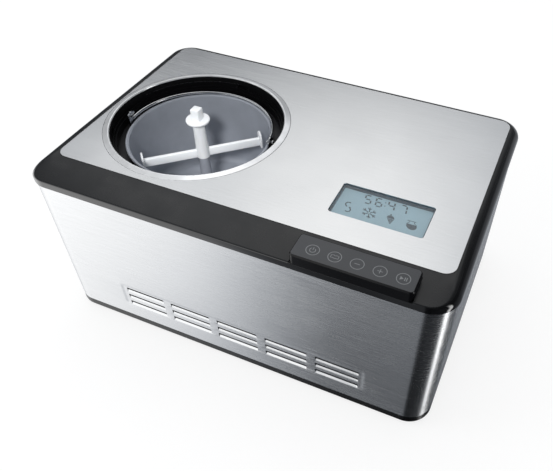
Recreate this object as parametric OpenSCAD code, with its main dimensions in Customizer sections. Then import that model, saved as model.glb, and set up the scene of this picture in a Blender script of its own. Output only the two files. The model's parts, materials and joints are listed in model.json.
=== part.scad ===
// Compressor ice cream maker: a steel-wrapped cabinet with a refrigerated well,
// a lift-out bowl with a bail handle and paddle, a display and a touch key block.
// Millimetres, +Z up, origin under the middle of the cabinet on the table.

/* [Cabinet] */
// Width over the top frame
body_w = 425; // [420:1:440]
// Depth over the top frame
body_d = 285; // [284:1:300]
// Height of the top plate above the table
body_top = 190; // [188:1:204]
// Corner radius of the top frame seen from above
corner_r = 26; // [22:1:30]
// Gap from the table to the base pan
foot_h = 6; // [4:0.5:10]
// Radius of each rubber foot
foot_r = 11; // [8:0.5:14]
// Height of the black base band under the steel
base_band = 8.4; // [7:0.1:12]

/* [Steel wrap] */
// Thickness of the steel sheet
wrap_t = 1; // [0.8:0.1:1.2]
// How far the steel stands inside the top frame
wrap_inset = 1.5; // [1.4:0.1:2]
// Length of one louvre slot
slot_l = 45.7; // [30:0.1:48]
// Height of one louvre slot
slot_h = 3.2; // [2:0.1:3.6]
// Distance from one slot group to the next
slot_pitch = 54.9; // [52:0.1:58]
// Distance from one slot row to the next
slot_row = 10.65; // [8:0.05:12]
// Slot groups across the front
slot_groups = 5; // [3:1:5]
// Height of the lowest slot row above the table
slot_z = 39.1; // [34:0.1:50]

/* [Top frame] */
// Radius of the rounded side and back edges
edge_r = 9.5; // [7:0.5:9.5]
// Radius of the sharper front edge
front_edge_r = 1.5; // [1:0.1:2.5]
// Depth of the front band, from the frame's front to the plate
front_band = 38; // [36:0.5:42]
// Fall of the front band towards the front
band_drop = 2; // [1.5:0.1:3]
// Height of the glossy front lip
lip_h = 7.7; // [6.5:0.1:9]
// Width of the frame beside the plate
side_border = 11.5; // [10:0.1:14]
// Thickness of the deck under the plate
deck_t = 4; // [3.5:0.1:5]

/* [Top plate] */
// Thickness of the top plate
plate_t = 0.8; // [0.6:0.1:1.2]
// Corner radius of the top plate
plate_corner_r = 11; // [8:1:24]
// Width of the display window cut in the plate
lcd_w = 89.5; // [80:0.5:96]
// Depth of the display window cut in the plate
lcd_d = 43; // [36:0.5:48]
// Middle of the display window, in from the cabinet's right side
lcd_from_right = 92; // [88:0.5:100]
// Middle of the display window, back from the cabinet's front
lcd_from_front = 91; // [86:0.5:100]

/* [Key block] */
// Width of the raised key block
keys_w = 108; // [100:0.5:116]
// Depth of the raised key block
keys_d = 27.5; // [24:0.5:28]
// Height of the key block above the plate
keys_rise = 8; // [6:0.5:10]
// Middle of the key block, in from the cabinet's right side
keys_from_right = 88.5; // [86:0.5:94]
// Distance from one key to the next
key_pitch = 19.55; // [18:0.05:20]
// Number of touch keys
key_count = 5; // [3:1:5]

/* [Well] */
// Middle of the well, in from the cabinet's left side
well_from_left = 109.9; // [109:0.1:116]
// Outer radius of the polished trim ring
ring_r = 97.2; // [96:0.1:98]
// Radius of the well mouth inside the trim ring
mouth_r = 90.6; // [90:0.1:91.5]
// Depth of the bowl rim below the plate
rim_drop = 14.5; // [13:0.1:16]
// Thickness of the foam round the cooling coil
foam_t = 18; // [12:0.5:18.5]

/* [Bowl] */
// Outer radius of the bowl wall
bowl_r = 75.6; // [72:0.1:76]
// Depth of the bowl from its rim to its underside
bowl_depth = 92; // [84:1:94]
// Thickness of the bowl wall
bowl_t = 1.2; // [1:0.1:1.6]
// Gap between the bowl and the cooled cup
bowl_gap = 0.6; // [0.4:0.1:0.8]
// Radius of the bail handle wire
bail_wire_r = 1.5; // [1.2:0.1:1.7]
// Turn of the bail's hinge line away from the cabinet's width
bail_turn = 7; // [0:1:12]

/* [Paddle] */
// Height of the paddle's square drive stub above the plate
stub_rise = 15.7; // [12:0.1:18]
// Side of the square drive stub
stub_side = 9.5; // [8:0.1:11]
// Depth of the paddle's lower edge below the plate
paddle_drop = 44; // [42:0.5:46]
// Height of the paddle's cross bar
bar_h = 9.5; // [8:0.5:12]
// Half the length of the cross bar
bar_half = 66; // [58:0.5:69]
// Turn of the cross bar seen from above
bar_turn = 42; // [0:1:90]
// Radius of the paddle's splash disc
disc_r = 12.5; // [11:0.1:14]

/* [Cooling] */
// Outer radius of the compressor shell
comp_r = 54; // [48:1:56]
// Height of the compressor shell
comp_h = 118; // [104:1:122]
// Radius of the cooling coil tube
coil_tube_r = 3.5; // [3:0.1:3.8]
// Turns of the cooling coil
coil_turns = 6; // [4:1:6]
// Radius of the refrigerant lines
line_r = 3; // [2.5:0.1:3.5]
// Side of the square cooling fan
fan_side = 104; // [96:1:106]
// Depth of the cooling fan
fan_depth = 25; // [22:1:26]
// Number of fan blades
fan_blades = 7; // [5:1:9]
// Number of condenser fins
fin_count = 18; // [12:1:22]

/* [Hidden] */

$fn = 96;
// facets of the children of a hull, which become triangles
hull_fn = 32;
// overlap that makes two shapes of one piece into one solid
weld = 0.5;
// reach of a cut past the face it leaves through
over = 1;
// clearance between fixed pieces that nest
nest = 0.3;
// radial clearance of a shaft that turns in a bore
run = 0.05;

// ---- cabinet levels, from the table up
pan_bottom = foot_h;
pan_floor_t = 3;
pan_floor = pan_bottom + pan_floor_t;
wrap_bottom = pan_bottom + base_band;
pan_rim_top = wrap_bottom + 12;
lip_bottom = body_top - band_drop - lip_h;
plate_under = body_top - plate_t;
frame_top = body_top - 0.1;
deck_under = plate_under - deck_t;
wrap_tuck = 3.6;
wrap_top = lip_bottom + wrap_tuck;

// ---- cabinet outlines
frame_wall = 2.2;
tuck_gap = 0.2;
wrap_w = body_w - 2 * wrap_inset;
wrap_d = body_d - 2 * wrap_inset;
wrap_r = corner_r - wrap_inset;
front_y = -body_d / 2;
back_y = body_d / 2;
right_x = body_w / 2;
plate_front_y = front_y + front_band;
back_border = side_border - 2;
plate_w = body_w - 2 * side_border;
plate_d = body_d - front_band - back_border;
plate_y = plate_front_y + plate_d / 2;
plate_gap = 0.25;
pan_rim_t = 2.5;
pan_inset = wrap_t + nest;

// ---- rear window of the wrap and the cover that fills it
rear_w = body_w - 2 * corner_r - 24;
rear_low = pan_rim_top + 2;
rear_high = lip_bottom - 8;
rear_t = 3;
rear_flange = 9;
rear_flange_low = 1.5;
rear_flange_high = 4;
rear_face_y = wrap_d / 2;
rear_in_y = rear_face_y - wrap_t;

// ---- pillars that tie the frame to the pan
pillar_r = 5;
pillar_x = right_x - corner_r;
pillar_back_y = back_y - corner_r;
pillar_front_y = plate_front_y + 12.5;
pillar_spots = [[-pillar_x, pillar_front_y], [pillar_x, pillar_front_y],
  [-pillar_x, pillar_back_y], [pillar_x, pillar_back_y]];
boss_h = 6;
boss_top = pan_floor + boss_h;
screw_r = 1.9;
screw_head_r = 3.6;
screw_head_h = 2;
screw_bite = 12;

// ---- well and bowl
well_x = -right_x + well_from_left;
well_y = 0;
rim_z = body_top - rim_drop;
bead_r = 1.5;
bowl_bottom = rim_z - bowl_depth;
bowl_floor_t = 1.5;
bowl_floor = bowl_bottom + bowl_floor_t;
bowl_fillet = 8;
cup_t = 1.5;
cup_in = bowl_r + bowl_gap;
cup_out = cup_in + cup_t;
cup_floor = bowl_bottom - nest;
cup_top = rim_z - 7.5;
cup_flange_r = cup_out + 14.3;
seal_t = 1.5;
collar_bottom = cup_top + seal_t;
step_r = [mouth_r, mouth_r - 2.3, mouth_r - 4.4];
step_z = [body_top - 10.5, body_top - 13.5];
ridge_h = 0.8;
ridge_w = 0.7;
ring_wall = 1.8;
ring_foot = body_top - 6;
neck_r = ring_r + 1.5;
deck_hole_r = neck_r + nest;
collar_flange_r = neck_r + 4.5;
collar_flange_t = 3;
notch_w = 14;
notch_depth = 2.2;
notch_turns = [88, 208, 328];

coil_steps = 30;
coil_r = (cup_out + nest + coil_tube_r) / cos(180 / coil_steps);
coil_exit = 40;
coil_tail_y = 12;
coil_low = cup_floor + 10;
coil_high = cup_top - cup_t - 8;
foam_in = coil_r + coil_tube_r + nest;
foam_out = foam_in + foam_t;
coil_end = foam_out - 4;
foam_top = cup_top - cup_t;
foam_floor = 21.4;
cup_under = cup_floor - cup_t;
foam_bottom = cup_under - foam_floor;
foam_slot_w = 14;
foam_post_r = 6;
foam_post_ring = foam_out - 12;
sensor_r = 4;
sensor_h = 9;

// ---- bail handle
bail_r = bowl_r + 1.4;
pivot_z = rim_z + 5;
ear_t = 1.5;
ear_in = bail_r + bail_wire_r + 0.5;
ear_w = 12;
ear_round = 6;
ear_foot_z = rim_z - 6;
bail_rest = asin((pivot_z - rim_z - bail_wire_r - nest) / bail_r);
bail_pin_end = ear_in + ear_t + 2.2;
bail_knee_r = bail_wire_r + 0.25;

// ---- paddle and the spindle that carries it
paddle_bottom = body_top - paddle_drop;
paddle_seat = 0.2;
pin_r = 3;
bush_r = 4.4;
bush_flange_r = 5.4;
bush_flange_t = 1.2;
pin_top = paddle_bottom + 24;
spindle_flange_r = 12;
spindle_flange_t = 2.5;
column_foot_r = 8;
column_r = 5.4;
post_r = 7.2;
post_top_r = 6.2;
disc_z = body_top + 0.8;
disc_t = 2.5;
bar_t = 4;
ear_blade_h = 17;
ear_blade_w = 15;
ear_blade_t = 2.6;

// ---- display stack
lcd_x = right_x - lcd_from_right;
lcd_y = front_y + lcd_from_front;
lcd_corner = 3;
window_t = 1.2;
window_lap = 2;
bezel_wall = 1.6;
bezel_h = 6.4;
window_under = plate_under - window_t;
bezel_under = window_under - bezel_h;
lcd_face = body_top - 5.2;
lcd_t = 1.8;
light_t = 3;
display_board_t = 1.6;
display_board_z = bezel_under - 4.2;

// ---- key block
keys_x = right_x - keys_from_right;
keys_front_y = front_y + 0.1;
keys_y = keys_front_y + keys_d / 2;
keys_corner = 4;
keys_top = body_top + keys_rise;
keys_seat = lip_bottom + 6.5;
keys_round = 0.9;
keys_wall = 1.8;
overlay_t = 0.5;
overlay_inset = 1.3;
key_row_y = keys_y - 0.6;
touch_board_t = 1.6;
touch_board_z = keys_seat + 2;
touch_spring_r = 4;

// ---- compressor
comp_gap = 5;
comp_y = -30;
comp_x = well_x + sqrt(pow(foam_out + comp_r + comp_gap, 2) - pow(comp_y, 2));
plate_seat = boss_top + 4;
comp_plate_t = 2;
comp_bottom = plate_seat + comp_plate_t;
comp_seam = comp_bottom + comp_h * 0.52;
comp_wall = 2.5;
comp_dome = 22;
seam_w = 3;
seam_h = 3;
comp_bolt_x = comp_r - 8;
comp_bolt_y = comp_r - 8;
comp_spots = [for (sx = [-1, 1], sy = [-1, 1]) [comp_x + sx * comp_bolt_x, comp_y + sy * comp_bolt_y]];
grommet_r = 7;
comp_bolt_r = 2.4;
grommet_hole_r = 2.6;
grommet_top = comp_bottom + 3;
washer_t = 1;
nut_h = 3;
nut_r = 4;
terminal_h = 26;
terminal_z = comp_seam - seam_h - terminal_h / 2 - 3;
stub_r = line_r + 0.8;
line_wall = 0.8;

// ---- fan and condenser
fan_pillar_gap = 16;
fan_x = pillar_x - pillar_r - fan_pillar_gap - fan_side / 2;
fan_back_y = rear_in_y - rear_t - 0.4;
fan_y = fan_back_y - fan_depth / 2;
fan_z = pan_floor + 10 + fan_side / 2;
fan_front_y = fan_back_y - fan_depth;
duct_r = fan_side / 2 - 4;
blade_tip_r = duct_r - 2;
hub_r = 18;
motor_r = 16;
fan_shaft_r = 1.5;
fan_wall = 2.5;
spoke_w = 7;
spoke_t = 4;
fan_hole_in = 7.2;
fan_screw_head_r = 3.2;
cond_d = 22;
cond_w = fan_side - 4;
cond_h = fan_side - 4;
cond_y = fan_front_y - 2.6 - cond_d / 2;
cond_tube_r = 3;
cond_rows = 4;
cond_row_pitch = cond_h / cond_rows;
cond_col = 11;
fin_t = 0.6;
bracket_t = 1.5;
cond_low = fan_z - cond_h / 2;

// ---- electrics
board_t = 1.6;
board_z = pan_floor + 11;
board_w = 84;
board_d = 96;
board_x = well_x;
board_post_r = 3;

// ---- cord gland in the rear cover
gland_x = -rear_w / 2 + 26;
gland_z = rear_low + 22;
gland_bore = 3.7;
gland_r = 6.5;
gland_flange_r = 9;
gland_flange_t = 1;

// ---- flat outlines and small shapes
module rounded_rect(w, d, r) {
  square([w - 2 * r, d], center = true);
  square([w, d - 2 * r], center = true);
  for (sx = [-1, 1], sy = [-1, 1])
    translate([sx * (w / 2 - r), sy * (d / 2 - r)])
      circle(r);
}

module slab(w, d, r, low, high) {
  translate([0, 0, low])
    linear_extrude(high - low)
      rounded_rect(w, d, r);
}

module disc(r, low, high) {
  translate([0, 0, low])
    cylinder(h = high - low, r = r);
}

module pipe(r_out, r_in, low, high) {
  difference() {
    disc(r_out, low, high);
    disc(r_in, low - over, high + over);
  }
}

module at_well() {
  translate([well_x, well_y, 0])
    children();
}

module box_between(a, b) {
  translate(a)
    cube(b - a);
}

// points of an arc in the r-z half plane
function arc(c, r, from, to, steps = 8) =
  [for (i = [0 : steps]) c + r * [cos(from + (to - from) * i / steps), sin(from + (to - from) * i / steps)]];

// ---- tubes along a route
function unit(v) = v / norm(v);

// a smooth curve through hand-placed points
function spline_point(p, i, t) =
  let (a = p[max(i - 1, 0)], b = p[i], c = p[i + 1], d = p[min(i + 2, len(p) - 1)])
  0.5 * ((2 * b) + (c - a) * t + (2 * a - 5 * b + 4 * c - d) * t * t + (3 * b - a - 3 * c + d) * t * t * t);

function spline(p, steps) =
  concat([for (i = [0 : len(p) - 2], s = [0 : steps - 1]) spline_point(p, i, s / steps)], [p[len(p) - 1]]);

// the hint is a direction that the route never takes
module sweep(route, r, sides = 8, hint = [0.03, 0.02, 1]) {
  n = len(route);
  ring = function (i)
    let (ahead = unit(route[min(i + 1, n - 1)] - route[max(i - 1, 0)]))
    let (u = unit(cross(ahead, hint)), v = cross(ahead, u))
    [for (k = [0 : sides - 1]) route[i] + r * (u * cos(360 * k / sides) + v * sin(360 * k / sides))];
  points = [for (i = [0 : n - 1]) each ring(i)];
  walls = [for (i = [0 : n - 2], k = [0 : sides - 1])
    let (a = i * sides + k, b = a + sides, c = (i + 1) * sides + (k + 1) % sides, d = c - sides)
    each [[a, b, c], [a, c, d]]];
  ends = [[for (k = [0 : sides - 1]) k], [for (k = [sides - 1 : -1 : 0]) (n - 1) * sides + k]];
  polyhedron(points, concat(walls, ends), convexity = 8);
}

// ---- cabinet
module base_pan() {
  color("#151517") {
    difference() {
      union() {
        slab(wrap_w, wrap_d, wrap_r, pan_bottom, wrap_bottom);
        slab(wrap_w - 2 * pan_inset, wrap_d - 2 * pan_inset, wrap_r - pan_inset,
          wrap_bottom - weld, pan_rim_top);
      }
      slab(wrap_w - 2 * (pan_inset + pan_rim_t), wrap_d - 2 * (pan_inset + pan_rim_t),
        wrap_r - pan_inset - pan_rim_t, pan_floor, pan_rim_top + over);
      foot_sockets();
      pan_vents();
      for (p = pillar_spots)
        translate([p.x, p.y, 0]) {
          disc(screw_r + 0.1, pan_bottom - over, boss_top);
          disc(screw_head_r + 0.2, pan_bottom - over, pan_bottom + screw_head_h);
        }
    }
    pan_bosses();
  }
}

module foot_sockets() {
  for (p = foot_spots)
    translate([p.x, p.y, 0])
      disc(foot_r - 4 + run, pan_bottom - over, pan_bottom + 2);
}

vent_l = 34;
vent_w = 3.4;
vent_pitch = 9;
vent_count = 7;
module pan_vents() {
  for (i = [0 : vent_count - 1])
    translate([fan_x + (i - (vent_count - 1) / 2) * vent_pitch, vent_y, 0])
      box_between([-vent_w / 2, -vent_l / 2, pan_bottom - over], [vent_w / 2, vent_l / 2, pan_floor + over]);
}
vent_y = comp_y + comp_r + vent_l / 2 + 6;

module pan_bosses() {
  for (p = pillar_spots)
    translate([p.x, p.y, 0])
      difference() {
        disc(pillar_r, pan_floor - weld, boss_top);
        disc(screw_r + 0.1, pan_bottom, boss_top + over);
      }
  for (p = comp_spots)
    translate([p.x, p.y, 0])
      difference() {
        disc(pillar_r, pan_floor - weld, boss_top);
        disc(comp_bolt_r - 0.2, pan_floor, boss_top + over);
      }
  at_well()
    for (a = [45 : 90 : 315])
      rotate(a)
        translate([foam_post_ring, 0, 0])
          disc(foam_post_r, pan_floor - weld, foam_bottom);
  for (p = board_spots)
    translate([p.x, p.y, 0])
      disc(board_post_r, pan_floor - weld, board_z);
  for (sx = [-1, 1])
    box_between([fan_x + sx * (cond_w / 2 - 6) - 5, cond_y - cond_d / 2, pan_floor - weld],
      [fan_x + sx * (cond_w / 2 - 6) + 5, fan_back_y, fan_z - fan_side / 2]);
}

foot_in = 34;
foot_spots = [for (sx = [-1, 1], sy = [-1, 1]) [sx * (right_x - foot_in), sy * (back_y - foot_in)]];
board_spots = [for (sx = [-1, 1], sy = [-1, 1])
  [board_x + sx * (board_w / 2 - 6), well_y + sy * (board_d / 2 - 6)]];

module feet() {
  color("#1c1c1e")
    for (p = foot_spots)
      translate([p.x, p.y, 0]) {
        disc(foot_r, 0, foot_h);
        disc(foot_r - 4, foot_h - weld, foot_h + 2 - 0.1);
      }
}

// the louvre field on the front of the wrap
louvre_x = 6.65;
louvre_left = louvre_x - slot_pitch * (slot_groups - 1) / 2;
louvre_pad = 7;
louvre_sink = 1.2;
louvre_x0 = louvre_left - slot_l / 2 - louvre_pad;
louvre_x1 = louvre_left + (slot_groups - 1) * slot_pitch + slot_l / 2 + louvre_pad;
louvre_z0 = slot_z - slot_h / 2 - 5;
louvre_z1 = slot_z + 2 * slot_row + slot_h / 2 + 5;

module louvre_sunk(depth, grow) {
  hull() {
    box_between([louvre_x0 - grow, -wrap_d / 2 - 0.01, louvre_z0 - grow],
      [louvre_x1 + grow, -wrap_d / 2, louvre_z1 + grow]);
    box_between([louvre_x0 + 2 - grow, -wrap_d / 2, louvre_z0 + 2 - grow],
      [louvre_x1 - 2 + grow, -wrap_d / 2 + depth, louvre_z1 - 2 + grow]);
  }
}

module at_slots() {
  for (g = [0 : slot_groups - 1], r = [0 : 2])
    translate([louvre_left + g * slot_pitch, -wrap_d / 2, slot_z + r * slot_row])
      children();
}

module steel_wrap() {
  color("#c9cdd1")
    difference() {
      union() {
        difference() {
          slab(wrap_w, wrap_d, wrap_r, wrap_bottom, wrap_top);
          slab(wrap_w - 2 * wrap_t, wrap_d - 2 * wrap_t, wrap_r - wrap_t,
            wrap_bottom - over, wrap_top + over);
        }
        louvre_back();
        at_slots() louvre_lip();
      }
      louvre_sunk(louvre_sink, 0);
      at_slots()
        translate([-slot_l / 2, -over, -slot_h / 2])
          cube([slot_l, louvre_sink + wrap_t + 2 * over, slot_h]);
      box_between([-rear_w / 2, rear_in_y - over, rear_low], [rear_w / 2, rear_face_y + over, rear_high]);
      at_rear_screws()
        disc(screw_r + 0.1, rear_in_y - over, rear_face_y + over);
    }
}

// the sheet behind the sunk field, and the lip under each slot
module louvre_back() {
  box_between([louvre_x0 - wrap_t, -wrap_d / 2 + wrap_t - 0.1, louvre_z0 - wrap_t],
    [louvre_x1 + wrap_t, -wrap_d / 2 + louvre_sink + wrap_t, louvre_z1 + wrap_t]);
}

module louvre_lip() {
  translate([-slot_l / 2, louvre_sink + wrap_t - 0.1, -slot_h / 2 - 2.4])
    cube([slot_l, 1.1, 2.4]);
}

rear_slot_w = 3.4;
rear_slot_pitch = 8;
rear_slots = 11;
module rear_cover() {
  color("#19191b")
    difference() {
      union() {
        box_between([-rear_w / 2 - rear_flange, rear_in_y - rear_t, rear_low - rear_flange_low],
          [rear_w / 2 + rear_flange, rear_in_y, rear_high + rear_flange_high]);
        box_between([-rear_w / 2 + nest, rear_in_y - weld, rear_low + nest],
          [rear_w / 2 - nest, rear_face_y, rear_high - nest]);
      }
      for (i = [0 : rear_slots - 1])
        translate([fan_x + (i - (rear_slots - 1) / 2) * rear_slot_pitch, 0, fan_z])
          box_between([-rear_slot_w / 2, rear_in_y - rear_t - over, -rear_slot_h(i) / 2],
            [rear_slot_w / 2, rear_face_y + over, rear_slot_h(i) / 2]);
      translate([gland_x, 0, gland_z])
        rotate([-90, 0, 0])
          disc(gland_r + run, rear_in_y - rear_t - over, rear_face_y + over);
      at_rear_screws()
        disc(screw_r + 0.1, rear_in_y - rear_t - over, rear_face_y + over);
    }
}

// the grille slots follow the round of the fan
function rear_slot_h(i) =
  2 * sqrt(pow(duct_r - 1, 2) - pow((i - (rear_slots - 1) / 2) * rear_slot_pitch, 2));

module at_rear_screws() {
  for (sx = [-1, 1], z = [rear_low + 9, rear_high - 9])
    translate([sx * (rear_w + rear_flange) / 2, 0, z])
      rotate([-90, 0, 0])
        children();
}

module rear_screws() {
  color("#3a3a3d")
    at_rear_screws() {
      disc(screw_head_r, rear_face_y, rear_face_y + 0.9);
      disc(screw_r, rear_in_y - rear_t - 3, rear_face_y + weld / 2);
    }
}

module cord_gland() {
  color("#101011")
    translate([gland_x, 0, gland_z])
      rotate([-90, 0, 0])
        difference() {
          union() {
            disc(gland_r, rear_in_y - rear_t - 3, rear_face_y + weld / 2);
            disc(gland_flange_r, rear_face_y, rear_face_y + gland_flange_t);
            disc(gland_flange_r, rear_in_y - rear_t - 3, rear_in_y - rear_t);
          }
          disc(gland_bore, rear_in_y - rear_t - 3 - over, rear_face_y + gland_flange_t + over);
        }
}

// ---- top frame, plate and trim
module frame_corner(r, e, high) {
  rise = high - e - lip_bottom;
  rotate_extrude($fn = hull_fn) {
    square([r, rise]);
    square([r - e, rise + e]);
    translate([r - e, rise])
      intersection() {
        circle(e, $fn = hull_fn);
        square(e);
      }
  }
}

// the soft edge runs round the front corners and ends where the crisp lip begins
front_roll_r = body_top - band_drop - lip_bottom - 0.2;
module frame_outer() {
  translate([0, 0, lip_bottom])
    hull() {
      for (sx = [-1, 1]) {
        translate([sx * (right_x - corner_r), back_y - corner_r, 0])
          frame_corner(corner_r, edge_r, frame_top);
        translate([sx * (right_x - edge_r - 4), plate_front_y + 4, 0])
          frame_corner(edge_r + 4, edge_r, frame_top);
        translate([sx * (right_x - corner_r), front_y + corner_r, 0])
          frame_corner(corner_r, front_roll_r, body_top - band_drop);
        translate([sx * (right_x - corner_r), front_y + 2 * front_edge_r, 0])
          frame_corner(2 * front_edge_r, front_edge_r, body_top - band_drop);
      }
    }
}

module top_frame() {
  color("#232427")
    difference() {
      frame_outer();
      slab(body_w - 2 * frame_wall - 2.6, body_d - 2 * frame_wall - 2.6, corner_r - frame_wall - 1.3,
        lip_bottom - over, deck_under);
      difference() {
        slab(wrap_w + 2 * tuck_gap, wrap_d + 2 * tuck_gap, wrap_r + tuck_gap,
          lip_bottom - over, wrap_top + nest);
        slab(wrap_w - 2 * wrap_t - 2 * tuck_gap, wrap_d - 2 * wrap_t - 2 * tuck_gap,
          wrap_r - wrap_t - tuck_gap, lip_bottom - 2 * over, wrap_top + over);
      }
      translate([0, plate_y, 0])
        slab(plate_w + 2 * plate_gap, plate_d + 2 * plate_gap, plate_corner_r + plate_gap,
          plate_under, body_top + 3);
      at_well()
        disc(deck_hole_r, deck_under - over, body_top);
      translate([lcd_x, lcd_y, 0])
        slab(lcd_w + 2 * window_lap + 2 * nest, lcd_d + 2 * window_lap + 2 * nest, lcd_corner,
          deck_under - over, plate_under + over);
      box_between([keys_x - keys_w / 2, front_y - over, keys_seat],
        [keys_x + keys_w / 2, keys_front_y + keys_d, body_top + over]);
      translate([keys_x, keys_y, 0])
        slab(keys_w - 12, keys_d - 12, 2, deck_under - over, keys_seat + over);
      for (p = pillar_spots)
        translate([p.x, p.y, 0]) {
          disc(screw_r + 0.1, deck_under - over, plate_under + over);
          disc(screw_head_r + 0.2, plate_under - screw_head_h, plate_under + over);
        }
    }
}

module top_plate() {
  color("#d3d5d7")
    difference() {
      translate([0, plate_y, 0])
        slab(plate_w, plate_d, plate_corner_r, plate_under, body_top);
      at_well()
        disc(ring_r + 0.4, plate_under - over, body_top + over);
      translate([lcd_x, lcd_y, 0])
        slab(lcd_w, lcd_d, lcd_corner, plate_under - over, body_top + over);
    }
}

ring_crown = 1.5;
ring_crown_r = 1.3;
ring_edge = 0.2;
module trim_ring() {
  color("#e6e7e8")
    at_well()
      rotate_extrude()
        polygon(concat(
          [[mouth_r, ring_foot], [mouth_r + ring_wall, ring_foot], [mouth_r + ring_wall, plate_under],
            [ring_r, plate_under], [ring_r, body_top], [ring_r - 2 * ring_edge, body_top + ring_edge]],
          arc([mouth_r + ring_crown_r, body_top + ring_crown - ring_crown_r], ring_crown_r, 70, 180)));
}

module well_collar() {
  wall = 3;
  color("#0f0f10")
    at_well()
      difference() {
        rotate_extrude()
          polygon([
            [step_r[2], collar_bottom], [step_r[2], step_z[1] + ridge_h],
            [step_r[2] + ridge_w, step_z[1] + ridge_h], [step_r[2] + ridge_w, step_z[1]],
            [step_r[1], step_z[1]], [step_r[1], step_z[0] + ridge_h],
            [step_r[1] + ridge_w, step_z[0] + ridge_h], [step_r[1] + ridge_w, step_z[0]],
            [step_r[0], step_z[0]], [step_r[0], ring_foot - 0.1],
            [mouth_r + ring_wall + 0.1, ring_foot - 0.1], [mouth_r + ring_wall + 0.1, plate_under],
            [neck_r, plate_under], [neck_r, deck_under], [collar_flange_r, deck_under],
            [collar_flange_r, deck_under - collar_flange_t], [mouth_r + wall, deck_under - collar_flange_t],
            [mouth_r + wall, step_z[0] - wall], [step_r[2] + wall + 1, step_z[1] - wall],
            [step_r[2] + wall + 1, collar_bottom]]);
        for (a = notch_turns)
          rotate(a)
            box_between([mouth_r - 1, -notch_w / 2, step_z[0]],
              [mouth_r + notch_depth, notch_w / 2, ring_foot + weld]);
      }
}

module well_seal() {
  color("#2a2a2c")
    at_well()
      pipe(cup_flange_r - 1, step_r[2], cup_top, collar_bottom);
}

module well_cup() {
  color("#b9bdc0")
    at_well()
      rotate_extrude()
        polygon(concat(
          [[0, cup_under]],
          arc([cup_out - bowl_fillet, cup_under + bowl_fillet], bowl_fillet, -90, 0),
          [[cup_out, cup_top - cup_t], [cup_flange_r, cup_top - cup_t], [cup_flange_r, cup_top],
            [cup_in, cup_top]],
          arc([cup_in - bowl_fillet + cup_t, cup_floor + bowl_fillet - cup_t], bowl_fillet - cup_t, 0, -90),
          [[0, cup_floor]]));
}

// the coil's ends leave side by side through a slot in the foam
module cooling_coil() {
  n = coil_turns * coil_steps;
  rise = function (i) coil_low + (coil_high - coil_low) * i / n;
  angle = function (i) 360 * i / coil_steps;
  bend = coil_r + 7;
  route = concat(
    [[coil_end, -coil_tail_y, coil_low], [bend + 4, -coil_tail_y, coil_low],
      [bend - 4, -coil_tail_y / 2, coil_low]],
    [for (i = [0 : n]) [coil_r * cos(angle(i)), coil_r * sin(angle(i)), rise(i)]],
    [[bend - 4, coil_tail_y / 2, coil_high], [bend + 4, coil_tail_y, coil_high],
      [coil_end, coil_tail_y, coil_high]]);
  color("#b8733f")
    at_well()
      rotate(coil_exit)
        sweep(route, coil_tube_r);
}

module foam_jacket() {
  color("#e8dfc4")
    at_well()
      difference() {
        disc(foam_out, foam_bottom, foam_top);
        disc(foam_in, cup_under, foam_top + over);
        disc(sensor_r + 1.5, cup_under - sensor_h - 1, cup_under + over);
        rotate(coil_exit)
          box_between([0, -foam_slot_w - 4, coil_low - 6],
            [foam_out + over, foam_slot_w + 4, foam_top + over]);
      }
}

module temperature_sensor() {
  color("#d8d8d8")
    at_well()
      disc(sensor_r, cup_under - sensor_h, cup_under);
}

module tie_pillars() {
  color("#2b2b2e")
    for (p = pillar_spots)
      translate([p.x, p.y, 0])
        difference() {
          disc(pillar_r, boss_top, deck_under);
          disc(screw_r, boss_top - over, boss_top + screw_bite);
          disc(screw_r, deck_under - screw_bite, deck_under + over);
        }
}

module pillar_screws() {
  color("#9a9da0")
    for (p = pillar_spots)
      translate([p.x, p.y, 0]) {
        disc(screw_head_r, plate_under - screw_head_h, plate_under - 0.2);
        disc(screw_r - 0.02, deck_under - screw_bite + 2, plate_under - screw_head_h + weld);
      }
}

module base_screws() {
  color("#9a9da0")
    for (p = pillar_spots)
      translate([p.x, p.y, 0]) {
        disc(screw_head_r, pan_bottom + 0.2, pan_bottom + screw_head_h);
        disc(screw_r - 0.02, pan_bottom + screw_head_h - weld, boss_top + screw_bite - 2);
      }
}

// ---- key block
module key_block() {
  color("#0e0e10")
    translate([keys_x, keys_y, 0])
      difference() {
        hull() {
          translate([0, 0, keys_seat])
            linear_extrude(keys_top - overlay_t - keys_round - keys_seat)
              rounded_rect_fine(keys_w - 0.2, keys_d - 0.2, keys_corner);
          translate([0, 0, keys_seat])
            linear_extrude(keys_top - keys_seat)
              rounded_rect_fine(keys_w - 2 * keys_round, keys_d - 2 * keys_round, keys_corner - keys_round);
        }
        slab(keys_w - 2 * keys_wall, keys_d - 2 * keys_wall, keys_corner - keys_wall,
          keys_seat - over, keys_top - overlay_t - keys_wall);
        slab(keys_w - 2 * overlay_inset, keys_d - 2 * overlay_inset, keys_corner - overlay_inset,
          keys_top - overlay_t, keys_top + over);
      }
}

module rounded_rect_fine(w, d, r) {
  square([w - 2 * r, d], center = true);
  square([w, d - 2 * r], center = true);
  for (sx = [-1, 1], sy = [-1, 1])
    translate([sx * (w / 2 - r), sy * (d / 2 - r)])
      circle(r, $fn = hull_fn);
}

module key_overlay() {
  color("#57585b")
    translate([keys_x, keys_y, 0])
      slab(keys_w - 2 * overlay_inset - 0.2, keys_d - 2 * overlay_inset - 0.2,
        keys_corner - overlay_inset - 0.1, keys_top - overlay_t, keys_top);
}

module touch_board() {
  color("#1f6b3a")
    translate([keys_x, keys_y, 0]) {
      slab(keys_w - 2 * keys_wall - 2 * nest, keys_d - 2 * keys_wall - 2 * nest, 1.5,
        touch_board_z, touch_board_z + touch_board_t);
      for (sx = [-1, 1])
        translate([sx * (keys_w / 2 - keys_wall - 3), 0, 0])
          disc(1.6, keys_seat, touch_board_z + weld);
    }
}

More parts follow.
